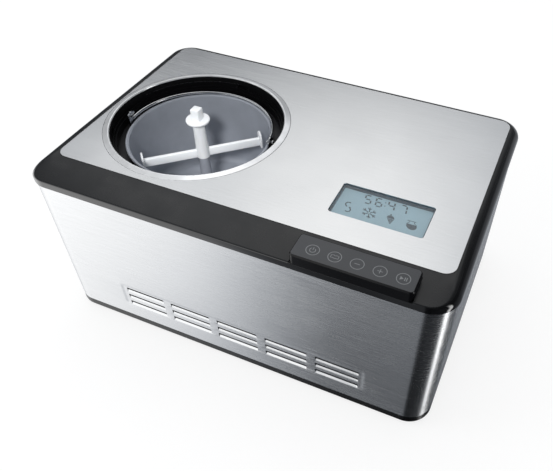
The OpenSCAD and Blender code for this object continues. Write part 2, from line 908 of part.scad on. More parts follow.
module touch_springs() {
  color("#c9a24a")
    for (i = [0 : key_count - 1])
      translate([keys_x + 1.8 + (i - (key_count - 1) / 2) * key_pitch, key_row_y, 0])
        pipe(touch_spring_r, touch_spring_r - 0.8, touch_board_z + touch_board_t,
          keys_top - overlay_t - keys_wall);
}

// ---- display
module display_window() {
  color("#cfe6f2", 0.35)
    translate([lcd_x, lcd_y, 0])
      slab(lcd_w + 2 * window_lap, lcd_d + 2 * window_lap, lcd_corner, window_under, plate_under);
}

module display_bezel() {
  color("#16324a")
    translate([lcd_x, lcd_y, 0])
      difference() {
        slab(lcd_w + 2 * window_lap, lcd_d + 2 * window_lap, lcd_corner, bezel_under, window_under);
        slab(lcd_w, lcd_d, lcd_corner, lcd_face, window_under + over);
        slab(lcd_w - 2 * bezel_wall, lcd_d - 2 * bezel_wall, 1, bezel_under - over, lcd_face + over);
      }
}

module lcd_cell() {
  color("#a9c9d8")
    translate([lcd_x, lcd_y, 0])
      slab(lcd_w - 2 * bezel_wall - 0.2, lcd_d - 2 * bezel_wall - 0.2, 0.9, lcd_face - lcd_t, lcd_face);
}

module backlight() {
  color("#eef4f7")
    translate([lcd_x, lcd_y, 0])
      slab(lcd_w - 2 * bezel_wall - 0.2, lcd_d - 2 * bezel_wall - 0.2, 0.9,
        lcd_face - lcd_t - light_t, lcd_face - lcd_t);
}

module display_board() {
  color("#1f6b3a")
    translate([lcd_x, lcd_y, 0]) {
      slab(lcd_w + 8, lcd_d + 8, 2, display_board_z, display_board_z + display_board_t);
      for (sx = [-1, 1], sy = [-1, 1])
        translate([sx * (lcd_w / 2 + 0.5), sy * (lcd_d / 2 + 0.5), 0])
          disc(1.2, display_board_z + weld, bezel_under);
    }
}

// ---- electrics
module power_board() {
  color("#2b7a3f")
    difference() {
      translate([board_x, well_y, 0])
        slab(board_w, board_d, 2, board_z, board_z + board_t);
      for (p = board_spots)
        translate([p.x, p.y, 0])
          disc(1.4, board_z - over, board_z + board_t + over);
    }
}

module transformer() {
  color("#c8a02a")
    translate([board_x - 18, well_y + 20, board_z + board_t]) {
      box_between([-15, -13, 0], [15, 13, 5]);
      box_between([-11, -13, 4], [11, 13, 17]);
      box_between([-15, -13, 16], [15, 13, 21]);
      box_between([-15, -4, 4], [15, 4, 17]);
    }
}

module relay() {
  color("#2457a8")
    translate([board_x + 20, well_y + 22, board_z + board_t])
      difference() {
        slab(19, 15, 1, 0, 15);
        translate([0, 0, 14.6])
          slab(14, 10, 0.8, 0, 1);
      }
}

can_r = 11;
can_h = 24;
can_groove = 0.8;
can_edge = 1.5;
module run_capacitor() {
  color("#8f9498")
    translate([board_x + 8, well_y - 24, board_z + board_t])
      difference() {
        rotate_extrude()
          polygon(concat(
            [[0, 0], [can_r, 0], [can_r, 2], [can_r - can_groove, 2 + can_groove],
              [can_r, 2 + 2 * can_groove]],
            arc([can_r - can_edge, can_h - can_edge], can_edge, 0, 90),
            [[0, can_h]]));
        for (a = [0, 90])
          rotate(a)
            box_between([-can_r + 3, -can_groove / 2, can_h - can_groove],
              [can_r - 3, can_groove / 2, can_h + over]);
      }
}

// ---- compressor
module compressor_profile(r, low, high, dome, up) {
  c = up ? high - dome : low + dome;
  polygon(up
    ? concat([[0, low], [r, low]], arc([r - dome, c], dome, 0, 90), [[0, high]])
    : concat([[0, high], [r, high]], arc([r - dome, c], dome, 0, -90), [[0, low]]));
}

module compressor_lower_shell() {
  color("#141415")
    translate([comp_x, comp_y, 0])
      difference() {
        union() {
          rotate_extrude()
            compressor_profile(comp_r, comp_bottom, comp_seam, comp_dome, false);
          disc(comp_r + seam_w, comp_seam - seam_h, comp_seam);
          rotate(terminal_turn)
            rotate([0, 90, 0])
              translate([-terminal_z, 0, 0])
                disc(9, comp_r - 6, comp_r + 4);
        }
        rotate_extrude()
          compressor_profile(comp_r - comp_wall, comp_bottom + comp_wall, comp_seam + over, comp_dome, false);
      }
}
terminal_turn = -62;

module compressor_upper_shell() {
  color("#161617")
    translate([comp_x, comp_y, 0])
      difference() {
        union() {
          rotate_extrude()
            compressor_profile(comp_r, comp_seam, comp_bottom + comp_h, comp_dome, true);
          disc(comp_r + seam_w, comp_seam, comp_seam + seam_h);
          for (a = [suction_turn, discharge_turn])
            rotate(a)
              rotate([0, 90, 0])
                translate([-port_z, 0, 0])
                  disc(stub_r, comp_r - 4, comp_r + 6);
        }
        rotate_extrude()
          compressor_profile(comp_r - comp_wall, comp_seam - over, comp_bottom + comp_h - comp_wall,
            comp_dome, true);
        for (a = [suction_turn, discharge_turn])
          rotate(a)
            rotate([0, 90, 0])
              translate([-port_z, 0, 0])
                disc(stub_r - line_wall, comp_r - 6, comp_r + 6 + over);
      }
}
port_z = comp_seam + 16;
suction_turn = 118;
discharge_turn = 62;

module compressor_plate() {
  color("#6d7276")
    difference() {
      translate([comp_x, comp_y, 0])
        slab(2 * comp_r + 4, 2 * comp_r + 4, 10, plate_seat, comp_bottom);
      for (p = comp_spots)
        translate([p.x, p.y, 0])
          disc(grommet_r - 2, plate_seat - over, comp_bottom + over);
      translate([comp_x, comp_y, 0])
        disc(18, plate_seat - over, comp_bottom + over);
    }
}

module compressor_grommets() {
  color("#222224")
    for (p = comp_spots)
      translate([p.x, p.y, 0])
        difference() {
          union() {
            disc(grommet_r, boss_top, plate_seat);
            disc(grommet_r - 2.05, plate_seat - weld, comp_bottom + weld);
            disc(grommet_r, comp_bottom, grommet_top);
          }
          disc(grommet_hole_r, boss_top - over, grommet_top + over);
        }
}

module compressor_bolts() {
  color("#b0b3b6")
    for (p = comp_spots)
      translate([p.x, p.y, 0]) {
        disc(comp_bolt_r - 0.22, pan_floor + weld, grommet_top + weld);
        disc(grommet_r - 0.5, grommet_top, grommet_top + washer_t);
        translate([0, 0, grommet_top + washer_t - weld])
          cylinder(h = nut_h + weld, r = nut_r, $fn = 6);
      }
}

module terminal_cover() {
  color("#3b3d40")
    translate([comp_x, comp_y, terminal_z])
      rotate(terminal_turn)
        difference() {
          box_between([comp_r + 1, -16, -terminal_h / 2], [comp_r + 20, 16, terminal_h / 2]);
          rotate([0, 90, 0])
            disc(9 + nest, comp_r - over, comp_r + 4 + nest);
          box_between([comp_r - over, -13, terminal_h / 2 - 5], [comp_r + 17, 13, terminal_h / 2 - 2]);
        }
}

// ---- refrigerant lines
function round_about(c, r, a, z) = [c.x + r * cos(a), c.y + r * sin(a), z];
exit_way = [cos(coil_exit), sin(coil_exit), 0];
exit_side = [-sin(coil_exit), cos(coil_exit), 0];
coil_top_end = [well_x, well_y, coil_high] + exit_way * coil_end + exit_side * coil_tail_y;
coil_low_end = [well_x, well_y, coil_low] + exit_way * coil_end - exit_side * coil_tail_y;
join = 0.8;
line_lead = 9;
port_lead = 12;
line_bow = 23;
line_side = 14;
line_rise = 18;
suction_port = round_about([comp_x, comp_y], comp_r + 6, suction_turn, port_z);
discharge_port = round_about([comp_x, comp_y], comp_r + 6, discharge_turn, port_z);
cond_left = fan_x - cond_w / 2;
cond_right = fan_x + cond_w / 2;
cond_tube_end = 9;
cond_in = [cond_left - cond_tube_end, cond_y - cond_col / 2, cond_low + (cond_rows - 0.5) * cond_row_pitch];
cond_out = [cond_left - cond_tube_end, cond_y - cond_col / 2, cond_low + 0.5 * cond_row_pitch];
capillary_r = 1.2;
capillary_loop_r = 9;
capillary_pitch = 3.2;
drier_r = 8;
drier_h = 56;
drier_neck = 5;
drier_taper = 9;
drier_aside = 34;
drier_lift = 22;
drier_x = cond_left - drier_aside;
drier_y = cond_y - 2;
drier_low = cond_low + drier_lift;
drier_top = drier_low + drier_h;

module suction_line() {
  out = [cos(suction_turn), sin(suction_turn), 0];
  route = spline([coil_top_end + exit_way * join, coil_top_end + exit_way * line_lead,
    coil_top_end + [line_bow, -line_lead / 4, -line_lead], suction_port + [-line_side, line_bow, line_bow],
    suction_port + out * port_lead, suction_port + out * join], 6);
  color("#b8733f")
    sweep(route, line_r);
}

module discharge_line() {
  out = [cos(discharge_turn), sin(discharge_turn), 0];
  route = spline([discharge_port + out * join, discharge_port + out * port_lead,
    discharge_port + [0, line_bow, line_rise], cond_in + [-line_side, -line_bow, line_lead],
    cond_in + [-port_lead, 0, 0], cond_in + [-join, 0, 0]], 6);
  color("#b8733f")
    sweep(route, line_r);
}

module liquid_line() {
  route = spline([cond_out + [-join, 0, 0], cond_out + [-line_lead, 0, 0],
    [drier_x + drier_neck, drier_y, cond_out.z], [drier_x, drier_y, drier_low - drier_neck],
    [drier_x, drier_y, drier_low - join]], 5);
  color("#b8733f")
    sweep(route, line_r, hint = [0, 1, 0.02]);
}

module filter_drier() {
  color("#a8683a")
    translate([drier_x, drier_y, 0])
      rotate_extrude()
        polygon([[0, drier_low], [stub_r, drier_low], [stub_r, drier_low + drier_neck],
          [drier_r, drier_low + drier_taper], [drier_r, drier_top - drier_taper],
          [2 * capillary_r, drier_top - drier_neck], [2 * capillary_r, drier_top], [0, drier_top]]);
}

module capillary_tube() {
  loops = 3;
  steps = 16;
  start = [drier_x, drier_y, drier_top + 0.2];
  mid = [drier_x - capillary_loop_r, drier_y, drier_top + 2 * drier_neck];
  wound = [for (i = [0 : loops * steps])
    mid + capillary_loop_r * [cos(360 * i / steps), sin(360 * i / steps), 0]
      + [0, 0, capillary_pitch * i / steps]];
  last = wound[len(wound) - 1];
  route = concat([start, start + [0, 0, drier_neck]], wound,
    spline([last + [-3, 7, 1], last + [-line_side, line_lead, -line_lead],
      coil_low_end + [line_side, line_bow, port_lead], coil_low_end + exit_way * line_lead,
      coil_low_end + exit_way * join], 5));
  color("#c98a52")
    sweep(route, capillary_r, 6, [-0.5, 0.5, 0.7]);
}

// ---- condenser and fan
module at_cond_tubes() {
  for (row = [0 : cond_rows - 1], side = [-1, 1])
    translate([0, cond_y + side * cond_col / 2, cond_low + (row + 0.5) * cond_row_pitch])
      rotate([0, 90, 0])
        children();
}

module u_bend(x, turn, y, z, r) {
  translate([x, y, z])
    rotate([90, 0, 0])
      rotate(turn)
        rotate_extrude(angle = 180)
          translate([r, 0])
            circle(cond_tube_r, $fn = 24);
}

module condenser_tube() {
  color("#b8733f") {
    for (row = [0 : cond_rows - 1], side = [-1, 1])
      translate([0, cond_y + side * cond_col / 2, cond_low + (row + 0.5) * cond_row_pitch])
        rotate([0, 90, 0])
          disc(cond_tube_r, side < 0 && (row == 0 || row == cond_rows - 1)
            ? cond_left - cond_tube_end : cond_left, cond_right);
    for (row = [0 : cond_rows - 1])
      translate([cond_right, cond_y, cond_low + (row + 0.5) * cond_row_pitch])
        rotate(-90)
          rotate_extrude(angle = 180)
            translate([cond_col / 2, 0])
              circle(cond_tube_r, $fn = 24);
    u_bend(cond_left, 90, cond_y + cond_col / 2, cond_low + cond_row_pitch, cond_row_pitch / 2);
    u_bend(cond_left, 90, cond_y + cond_col / 2, cond_low + 3 * cond_row_pitch, cond_row_pitch / 2);
    u_bend(cond_left, 90, cond_y - cond_col / 2, cond_low + 2 * cond_row_pitch, cond_row_pitch / 2);
  }
}

module condenser_fins() {
  span = cond_w - 2 * bracket_t - 6;
  color("#c4c8cb")
    difference() {
      for (i = [0 : fin_count - 1])
        translate([fan_x - span / 2 + i * span / (fin_count - 1), cond_y, fan_z])
          cube([fin_t, cond_d, cond_h], center = true);
      at_cond_tubes()
        disc(cond_tube_r + 0.02, cond_left - over, cond_right + over);
    }
}

module condenser_brackets() {
  color("#8e9396")
    difference() {
      for (sx = [-1, 1])
        translate([fan_x + sx * (cond_w / 2 - bracket_t / 2), 0, 0]) {
          box_between([-bracket_t / 2, cond_y - cond_d / 2, fan_z - fan_side / 2],
            [bracket_t / 2, fan_front_y, cond_low + cond_h]);
        }
      at_cond_tubes()
        disc(cond_tube_r + 0.02, cond_left - over, cond_right + over);
    }
}

module at_fan() {
  translate([fan_x, 0, fan_z])
    rotate([-90, 0, 0])
      children();
}

module fan_corners() {
  for (sx = [-1, 1], sy = [-1, 1])
    translate([sx * (fan_side / 2 - fan_hole_in), sy * (fan_side / 2 - fan_hole_in), 0])
      children();
}

module fan_shroud() {
  color("#1a1a1c")
    at_fan()
      difference() {
        union() {
          slab(fan_side, fan_side, 5, fan_front_y, fan_front_y + 3);
          slab(fan_side, fan_side, 5, fan_back_y - 3, fan_back_y);
          disc(duct_r + fan_wall, fan_front_y, fan_back_y);
        }
        difference() {
          disc(duct_r, fan_front_y - over, fan_back_y + over);
          disc(motor_r + 3, fan_back_y - spoke_t, fan_back_y);
          for (a = [45 : 90 : 315])
            rotate(a)
              box_between([0, -spoke_w / 2, fan_back_y - spoke_t], [duct_r + 1, spoke_w / 2, fan_back_y]);
        }
        fan_corners()
          disc(2, fan_front_y - over, fan_back_y + over);
      }
}

module fan_motor() {
  color("#2c2c2f")
    at_fan()
      difference() {
        disc(motor_r, fan_back_y - spoke_t - 10, fan_back_y - spoke_t);
        disc(fan_shaft_r + run, fan_back_y - spoke_t - 10 - over, fan_back_y - spoke_t - 1);
      }
}

module fan_screws() {
  color("#9a9da0")
    at_fan()
      fan_corners() {
        disc(fan_screw_head_r, fan_front_y - 2, fan_front_y);
        disc(1.9, fan_front_y - weld, fan_back_y - 0.3);
      }
}

module fan_impeller() {
  low = fan_front_y + 2;
  high = fan_back_y - spoke_t - 1;
  color("#0f0f10")
    at_fan() {
      difference() {
        disc(hub_r, low, high - 1);
        disc(motor_r + 0.8, low + 2.5, high);
      }
      disc(fan_shaft_r, low + 1, high - 1);
      intersection() {
        pipe(blade_tip_r, hub_r - 1, low, high - 1);
        for (i = [0 : fan_blades - 1])
          rotate(360 * i / fan_blades)
            translate([0, 0, (low + high - 1) / 2])
              rotate([38, 0, 0])
                translate([0, -11, -0.8])
                  cube([blade_tip_r + 4, 22, 1.6]);
      }
    }
}

// ---- bowl, bail and paddle
module bowl() {
  wall_in = bowl_r - bowl_t;
  bead_x = bowl_r + 0.8;
  color("#9aa0a6")
    at_well() {
      rotate_extrude()
        polygon(concat(
          [[0, bowl_bottom]],
          arc([bowl_r - bowl_fillet, bowl_bottom + bowl_fillet], bowl_fillet, -90, 0),
          [[bowl_r, rim_z - bead_r], [wall_in, rim_z - bead_r]],
          arc([wall_in - bowl_fillet + bowl_floor_t, bowl_floor + bowl_fillet - bowl_floor_t],
            bowl_fillet - bowl_floor_t, 0, -90),
          [[0, bowl_floor]]));
      translate([0, 0, rim_z - bead_r])
        rotate_extrude()
          translate([bead_x, 0])
            circle(bead_r);
    }
}

module bowl_spindle() {
  shoulder = paddle_bottom - paddle_seat;
  color("#a4a9ae")
    at_well() {
      disc(spindle_flange_r, bowl_floor, bowl_floor + spindle_flange_t);
      translate([0, 0, bowl_floor + spindle_flange_t - weld])
        cylinder(h = shoulder - bowl_floor - spindle_flange_t + weld, r1 = column_foot_r, r2 = column_r);
      disc(pin_r, shoulder - weld, pin_top);
    }
}

module at_ears() {
  for (a = [bail_turn, bail_turn + 180])
    rotate(a)
      children();
}

module bail_ears() {
  color("#b4b8bb")
    at_well()
      at_ears()
        difference() {
          union() {
            box_between([ear_in, -ear_w / 2, ear_foot_z], [ear_in + ear_t, ear_w / 2, pivot_z]);
            translate([0, 0, pivot_z])
              rotate([0, 90, 0])
                disc(ear_round, ear_in, ear_in + ear_t);
            box_between([bowl_r - 2, -ear_w / 2, ear_foot_z], [ear_in + weld, ear_w / 2, ear_foot_z + 2.4]);
          }
          disc(bowl_r, ear_foot_z - over, rim_z);
          translate([0, 0, pivot_z])
            rotate([0, 90, 0])
              disc(bail_wire_r + 0.08, ear_in - over, ear_in + ear_t + over);
        }
}

module bail_handle() {
  color("#c7cacd")
    at_well()
      rotate(bail_turn) {
        for (side = [0, 180])
          rotate(side)
            translate([0, 0, pivot_z])
              rotate([0, 90, 0]) {
                translate([0, 0, bail_r])
                  sphere(bail_knee_r);
                disc(bail_wire_r, bail_r, bail_pin_end);
                disc(bail_wire_r + 0.9, bail_pin_end - weld, bail_pin_end + 0.6);
              }
        translate([0, 0, pivot_z])
          rotate([-bail_rest, 0, 0])
            rotate_extrude(angle = 180)
              translate([bail_r, 0])
                circle(bail_wire_r);
      }
}

module paddle_bush() {
  color("#b08d4a")
    at_well()
      difference() {
        union() {
          disc(bush_flange_r, paddle_bottom, paddle_bottom + bush_flange_t);
          disc(bush_r, paddle_bottom, pin_top - 1);
        }
        disc(pin_r + run, paddle_bottom - over, pin_top);
      }
}

module paddle() {
  bore_top = pin_top + 1.5;
  color("#f4f5f5", 0.9)
    at_well()
      difference() {
        union() {
          translate([0, 0, paddle_bottom])
            cylinder(h = disc_z - paddle_bottom + weld, r1 = post_r, r2 = post_top_r);
          disc(disc_r, disc_z, disc_z + disc_t);
          translate([-stub_side / 2, -stub_side / 2, disc_z + weld])
            cube([stub_side, stub_side, body_top + stub_rise - disc_z - weld]);
        }
        disc(bush_r + run, paddle_bottom - over, bore_top);
        disc(bush_flange_r + 0.2, paddle_bottom - over, paddle_bottom + bush_flange_t + 0.2);
      }
}

// the cross bar's two arms, seated on the post
module paddle_blades() {
  color("#f4f5f5", 0.9)
    at_well()
      difference() {
        rotate(bar_turn)
          paddle_bar();
        disc(post_r + run, paddle_bottom - over, paddle_bottom + bar_h + over);
      }
}

module paddle_bar() {
  box_between([-bar_half, -bar_t / 2, paddle_bottom], [bar_half, bar_t / 2, paddle_bottom + bar_h]);
  for (side = [0, 180])
    rotate(side)
      intersection() {
        box_between([bar_half - ear_blade_t, -ear_blade_w / 2, paddle_bottom],
          [bar_half + 1, ear_blade_w / 2, paddle_bottom + ear_blade_h]);
        disc(bar_half, paddle_bottom - over, paddle_bottom + ear_blade_h + over);
      }
}

base_pan();
feet();
steel_wrap();
rear_cover();
cord_gland();
top_frame();
top_plate();
trim_ring();
well_collar();
well_seal();
well_cup();
cooling_coil();
foam_jacket();
temperature_sensor();
tie_pillars();
pillar_screws();
base_screws();
rear_screws();
key_block();
key_overlay();
touch_board();
touch_springs();
display_window();
display_bezel();
lcd_cell();
backlight();
display_board();
power_board();
transformer();
relay();
run_capacitor();
compressor_lower_shell();
compressor_upper_shell();
compressor_plate();
compressor_grommets();
compressor_bolts();
terminal_cover();
suction_line();
discharge_line();
liquid_line();
filter_drier();
capillary_tube();
condenser_tube();
condenser_fins();
condenser_brackets();
fan_shroud();
fan_motor();
fan_screws();
fan_impeller();
bowl();
bowl_spindle();
bail_ears();
bail_handle();
paddle_bush();
paddle();
paddle_blades();
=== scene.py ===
# %% [markdown]
# # A compressor ice cream maker, dressed for rendering
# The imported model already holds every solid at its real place. This lesson gives each solid its
# finish and remakes the few pieces whose look asks for softer shapes: the moulded top frame, the
# pressed steel wrap with its louvres, the paddle, the printed keys and the display's segments.
# Everything is in metres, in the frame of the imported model: +X to the right, +Y to the back, +Z up.

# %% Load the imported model
import json
import math

import bmesh
import bpy
from mathutils import Matrix, Vector


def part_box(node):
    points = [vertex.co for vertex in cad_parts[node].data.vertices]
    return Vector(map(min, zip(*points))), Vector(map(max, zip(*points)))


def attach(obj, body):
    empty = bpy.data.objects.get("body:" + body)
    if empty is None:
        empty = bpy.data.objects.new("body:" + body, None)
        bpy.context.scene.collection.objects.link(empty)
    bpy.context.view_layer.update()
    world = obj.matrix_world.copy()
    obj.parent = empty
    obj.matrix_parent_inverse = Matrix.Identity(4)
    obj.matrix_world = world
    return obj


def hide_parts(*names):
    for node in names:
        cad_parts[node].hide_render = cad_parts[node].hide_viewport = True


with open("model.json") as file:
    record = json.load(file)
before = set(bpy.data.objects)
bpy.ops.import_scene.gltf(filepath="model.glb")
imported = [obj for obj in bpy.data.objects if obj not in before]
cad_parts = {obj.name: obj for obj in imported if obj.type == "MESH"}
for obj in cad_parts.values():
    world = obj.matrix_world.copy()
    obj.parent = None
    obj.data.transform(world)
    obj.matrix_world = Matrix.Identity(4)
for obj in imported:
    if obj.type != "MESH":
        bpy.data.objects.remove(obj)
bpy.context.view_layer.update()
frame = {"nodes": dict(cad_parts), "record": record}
nodes = frame["nodes"]
mm = 0.001

# %% [markdown]
# ## Camera
# The machine is seen from above its front right corner with a normal lens. A camera is easiest to
# keep true when its place and its three axes are written down: right, down and forward. Blender's
# camera looks along its own -Z with +Y up, so down and forward change sign in the matrix.

# %% Camera
eye = Vector((0.22765, -0.44217, 0.55160))
forward = Vector((-0.26224, 0.63554, -0.72616)).normalized()
right = Vector((0.91941, 0.39311, 0.01202))
right = (right - forward * right.dot(forward)).normalized()
up = right.cross(forward)
focal_px = 599.46
frame_px = (553, 471)

camera_data = bpy.data.cameras.new("camera")
camera = bpy.data.objects.new("camera", camera_data)
bpy.context.scene.collection.objects.link(camera)
turn = Matrix((right, up, -forward)).transposed()
camera.matrix_world = Matrix.Translation(eye) @ turn.to_4x4()
camera_data.sensor_width = 36
camera_data.lens = 36 * focal_px / frame_px[0]
camera_data.shift_x = -0.08892
camera_data.shift_y = 0.03801
camera_data.clip_start = 0.01
bpy.context.scene.camera = camera
bpy.context.scene.view_settings.view_transform = "Standard"
print("lens", round(camera_data.lens, 2), "mm")

# %% [markdown]
# ## Node helpers
# Every finish here is a small graph of nodes round one Principled shader. A few helpers keep the
# graphs short: one makes a node, sets its fields and links its inputs, one starts a material, and
# the others make patterns and lead them to its colour, its roughness and its relief.
# The patterns use object coordinates: each solid sits at the origin, so these are metres on the
# machine, and a grain of 0.3 mm is written as 0.3 mm.

# %% Node helpers
def node(tree, kind, inputs=None, **fields):
    """One node. Inputs are values or sockets of other nodes."""
    made = tree.nodes.new(kind)
    for key, value in fields.items():
        setattr(made, key, value)
    for key, value in (inputs or {}).items():
        if isinstance(value, bpy.types.NodeSocket):
            tree.links.new(value, made.inputs[key])
        else:
            made.inputs[key].default_value = value
    return made


def finish(name, colour, metallic=0.0, roughness=0.4, **sockets):
    """A material with one Principled shader. Returns the material, its tree and the shader."""
    material = bpy.data.materials.new(name)
    material.use_nodes = True
    shader = material.node_tree.nodes["Principled BSDF"]
    shader.inputs["Base Color"].default_value = (*colour, 1)
    shader.inputs["Metallic"].default_value = metallic
    shader.inputs["Roughness"].default_value = roughness
    for key, value in sockets.items():
        shader.inputs[key.replace("_", " ")].default_value = value
    return material, material.node_tree, shader


def pattern(tree, size, stretch=(1, 1, 1), detail=2.0):
    """Noise whose blobs are about size metres, longer along an axis by its stretch."""
    place = node(tree, "ShaderNodeTexCoord")
    scaled = node(tree, "ShaderNodeVectorMath", {0: place.outputs["Object"],
        1: tuple(1 / (size * s) for s in stretch)}, operation="MULTIPLY")
    noise = node(tree, "ShaderNodeTexNoise", {"Vector": scaled.outputs[0], "Scale": 1.0, "Detail": detail})
    return noise.outputs["Fac"]


def spread(tree, value, low, high, from_low=0.3, from_high=0.7):
    """The same pattern between two other values."""
    ranged = node(tree, "ShaderNodeMapRange", {"Value": value, "From Min": from_low, "From Max": from_high,
        "To Min": low, "To Max": high})
    return ranged.outputs["Result"]


def tint(tree, value, dark, light):
    """Two colours mixed by a pattern."""
    mix = node(tree, "ShaderNodeMix", {0: value, 6: (*dark, 1), 7: (*light, 1)}, data_type="RGBA")
    return mix.outputs[2]


def bumps(tree, shader, value, depth, strength=1.0):
    """Relief of a pattern, depth in metres."""
    bump = node(tree, "ShaderNodeBump", {"Height": value, "Distance": depth, "Strength": strength})
    tree.links.new(bump.outputs["Normal"], shader.inputs["Normal"])


def shade(colour, factor):
    """A colour made darker or lighter."""
    return tuple(min(1.0, c * factor) for c in colour)


def roughen(tree, shader, value, low, high, from_low=0.3, from_high=0.7):
    """Roughness that follows a pattern."""
    tree.links.new(spread(tree, value, low, high, from_low, from_high), shader.inputs["Roughness"])


def colour_by(tree, shader, value, dark, light):
    """Base colour that follows a pattern."""
    tree.links.new(tint(tree, value, dark, light), shader.inputs["Base Color"])


print("node helpers ready")

# %% [markdown]
# ## Stage and light
# The floor is plain and white to the camera, and it keeps a soft shadow: a part of its white is
# emitted, the rest comes from the lamps. Polished metal has no colour of its own to show, only its
# surroundings, so the surroundings are built with care. They are a procedural world by direction:
# a wide soft ceiling, a bright sweep on the left that fades to a dark right side, a low strip in
# front that lights the louvres' lips, and one narrow bright panel on the right that draws the line
# along the front corner. Plain materials see a calm even grey instead, so that a colour renders
# about as it is written.

# %% Floor
floor_size = 8.0
floor_drop = 0.0002
emitted_white = 0.80
lit_grey = 0.62
shadow_grey = 0.30
bpy.ops.mesh.primitive_plane_add(size=floor_size, location=(0, 0, -floor_drop))
floor = bpy.context.object
floor.name = "floor"
floor_material = bpy.data.materials.new("floor_white")
floor_material.use_nodes = True
tree = floor_material.node_tree
tree.nodes.remove(tree.nodes["Principled BSDF"])
path = node(tree, "ShaderNodeLightPath")
plain = node(tree, "ShaderNodeBsdfDiffuse", {"Color": (lit_grey, lit_grey, lit_grey, 1)})
part = node(tree, "ShaderNodeBsdfDiffuse", {"Color": (shadow_grey, shadow_grey, shadow_grey, 1)})
glow = node(tree, "ShaderNodeEmission", {"Color": (1, 1, 1, 1), "Strength": emitted_white})
seen = node(tree, "ShaderNodeAddShader", {0: part.outputs[0], 1: glow.outputs[0]})
either = node(tree, "ShaderNodeMixShader", {0: path.outputs["Is Camera Ray"], 1: plain.outputs[0],
    2: seen.outputs[0]})
tree.links.new(either.outputs[0], tree.nodes["Material Output"].inputs["Surface"])
floor.data.materials.append(floor_material)
floor.visible_glossy = False
print("floor", floor_size, "m")

# %% World
world = bpy.data.worlds.new("studio")
bpy.context.scene.world = world
world.use_nodes = True
world.cycles.sampling_method = "NONE"
tree = world.node_tree
tree.nodes.clear()


def ramp(tree, value, stops, smooth=True):
    """A grey curve through (place, brightness) stops, with places from 0 to 1."""
    curve = node(tree, "ShaderNodeValToRGB", {0: value})
    curve.color_ramp.interpolation = "EASE" if smooth else "LINEAR"
    points = curve.color_ramp.elements
    while len(points) < len(stops):
        points.new(0.5)
    for point, (place, grey) in zip(points, stops):
        point.position = place
        point.color = (grey, grey, grey, 1)
    return curve.outputs["Color"]


def math_node(tree, operation, a, b=0.0, clamp=False):
    """One step of arithmetic."""
    return node(tree, "ShaderNodeMath", {0: a, 1: b}, operation=operation, use_clamp=clamp).outputs[0]


def by_azimuth(stops, share=1.0, smooth=True):
    """A curve over the compass, from (degrees, brightness) stops. 0 is the front, 90 the right."""
    return ramp(tree, azimuth_share, [((angle + 180) / 360, grey / share) for angle, grey in stops], smooth)


def by_height(stops, share=1.0, smooth=True):
    """A curve over the elevation, from (degrees, brightness) stops. 90 is straight up."""
    return ramp(tree, elevation_share, [((angle + 90) / 180, grey / share) for angle, grey in stops], smooth)


bright = 4.0
low_boost = 2.0
around_stops = [(-180, 0.30), (-165, 0.16), (-150, 0.12), (-134, 0.10), (-116, 0.12), (-104, 0.72),
    (-64, 0.98), (-54, 0.96), (-47, 0.90), (-41, 0.87), (-36.5, 0.76), (-33, 0.54), (-30, 0.37),
    (-26, 0.235), (-22, 0.165), (-18, 0.135), (-13, 0.14), (-8, 0.185), (-1, 0.17), (6, 0.04), (18, 0.02),
    (34, 0.03), (80, 0.04), (88, 2.6), (95, 2.6), (98, 0.05), (125, 0.08), (158, 0.22), (180, 0.34)]
below_stops = [(-64, 0.42), (-56, 0.74), (-50, 1.0), (-46, 1.12), (-40, 1.2), (-15, 1.7), (8, 1.7),
    (18, 0.6), (90, 0.6)]
above_stops = [(-90, 0.0), (25, 0.0), (27.3, 0.08), (29, 0.28), (31, 0.60), (33, 0.78), (36, 0.94),
    (40, 1.0), (90, 1.0)]
ceiling_stops = [(-180, 0.66), (-172, 0.86), (-164, 1.0), (-151, 1.0), (-143, 0.76), (-136, 0.88),
    (-130, 0.95), (-126, 0.65), (-120, 0.20), (-100, 0.12), (-60, 0.45), (-30, 0.25), (60, 0.05),
    (165, 0.05), (172, 0.28), (180, 0.66)]
ceiling = 1.14
strip_rise = [(-90, 0.0), (-36, 0.0), (-29, 1.0), (15, 1.0), (20, 0.0), (90, 0.0)]
strip_around = [(-180, 0.0), (-80, 0.0), (-70, 1.0), (-14, 1.0), (-2, 0.0), (180, 0.0)]
strip_light = 1.3
even_light = 0.55
cool_grey = (0.90, 0.96, 1.06, 1)

direction = node(tree, "ShaderNodeTexCoord").outputs["Generated"]
xyz = node(tree, "ShaderNodeSeparateXYZ", {0: direction})
minus_y = math_node(tree, "MULTIPLY", xyz.outputs["Y"], -1.0)
azimuth = math_node(tree, "ARCTAN2", xyz.outputs["X"], minus_y)
azimuth_share = math_node(tree, "ADD", math_node(tree, "DIVIDE", azimuth, 2 * math.pi), 0.5)
elevation = math_node(tree, "ARCSINE", xyz.outputs["Z"])
elevation_share = math_node(tree, "ADD", math_node(tree, "DIVIDE", elevation, math.pi), 0.5)
around = by_azimuth(around_stops, bright)
above = by_height(above_stops)
below = by_height(below_stops, low_boost, smooth=False)
around_light = math_node(tree, "MULTIPLY", math_node(tree, "MULTIPLY", around, below), low_boost * bright)
overhead = math_node(tree, "MULTIPLY", by_azimuth(ceiling_stops, smooth=False), ceiling)
strip_high = by_height(strip_rise, smooth=False)
strip_wide = by_azimuth(strip_around, smooth=False)
strip = math_node(tree, "MULTIPLY", math_node(tree, "MULTIPLY", strip_high, strip_wide), strip_light)
fronted = math_node(tree, "MAXIMUM", around_light, strip)
mirrored = node(tree, "ShaderNodeMix", {0: above, 2: fronted, 3: overhead}).outputs[0]
cool = node(tree, "ShaderNodeMix", {0: math_node(tree, "MULTIPLY", mirrored, 0.9, clamp=True),
    6: cool_grey, 7: (1, 1, 1, 1)}, data_type="RGBA").outputs[2]
path = node(tree, "ShaderNodeLightPath")
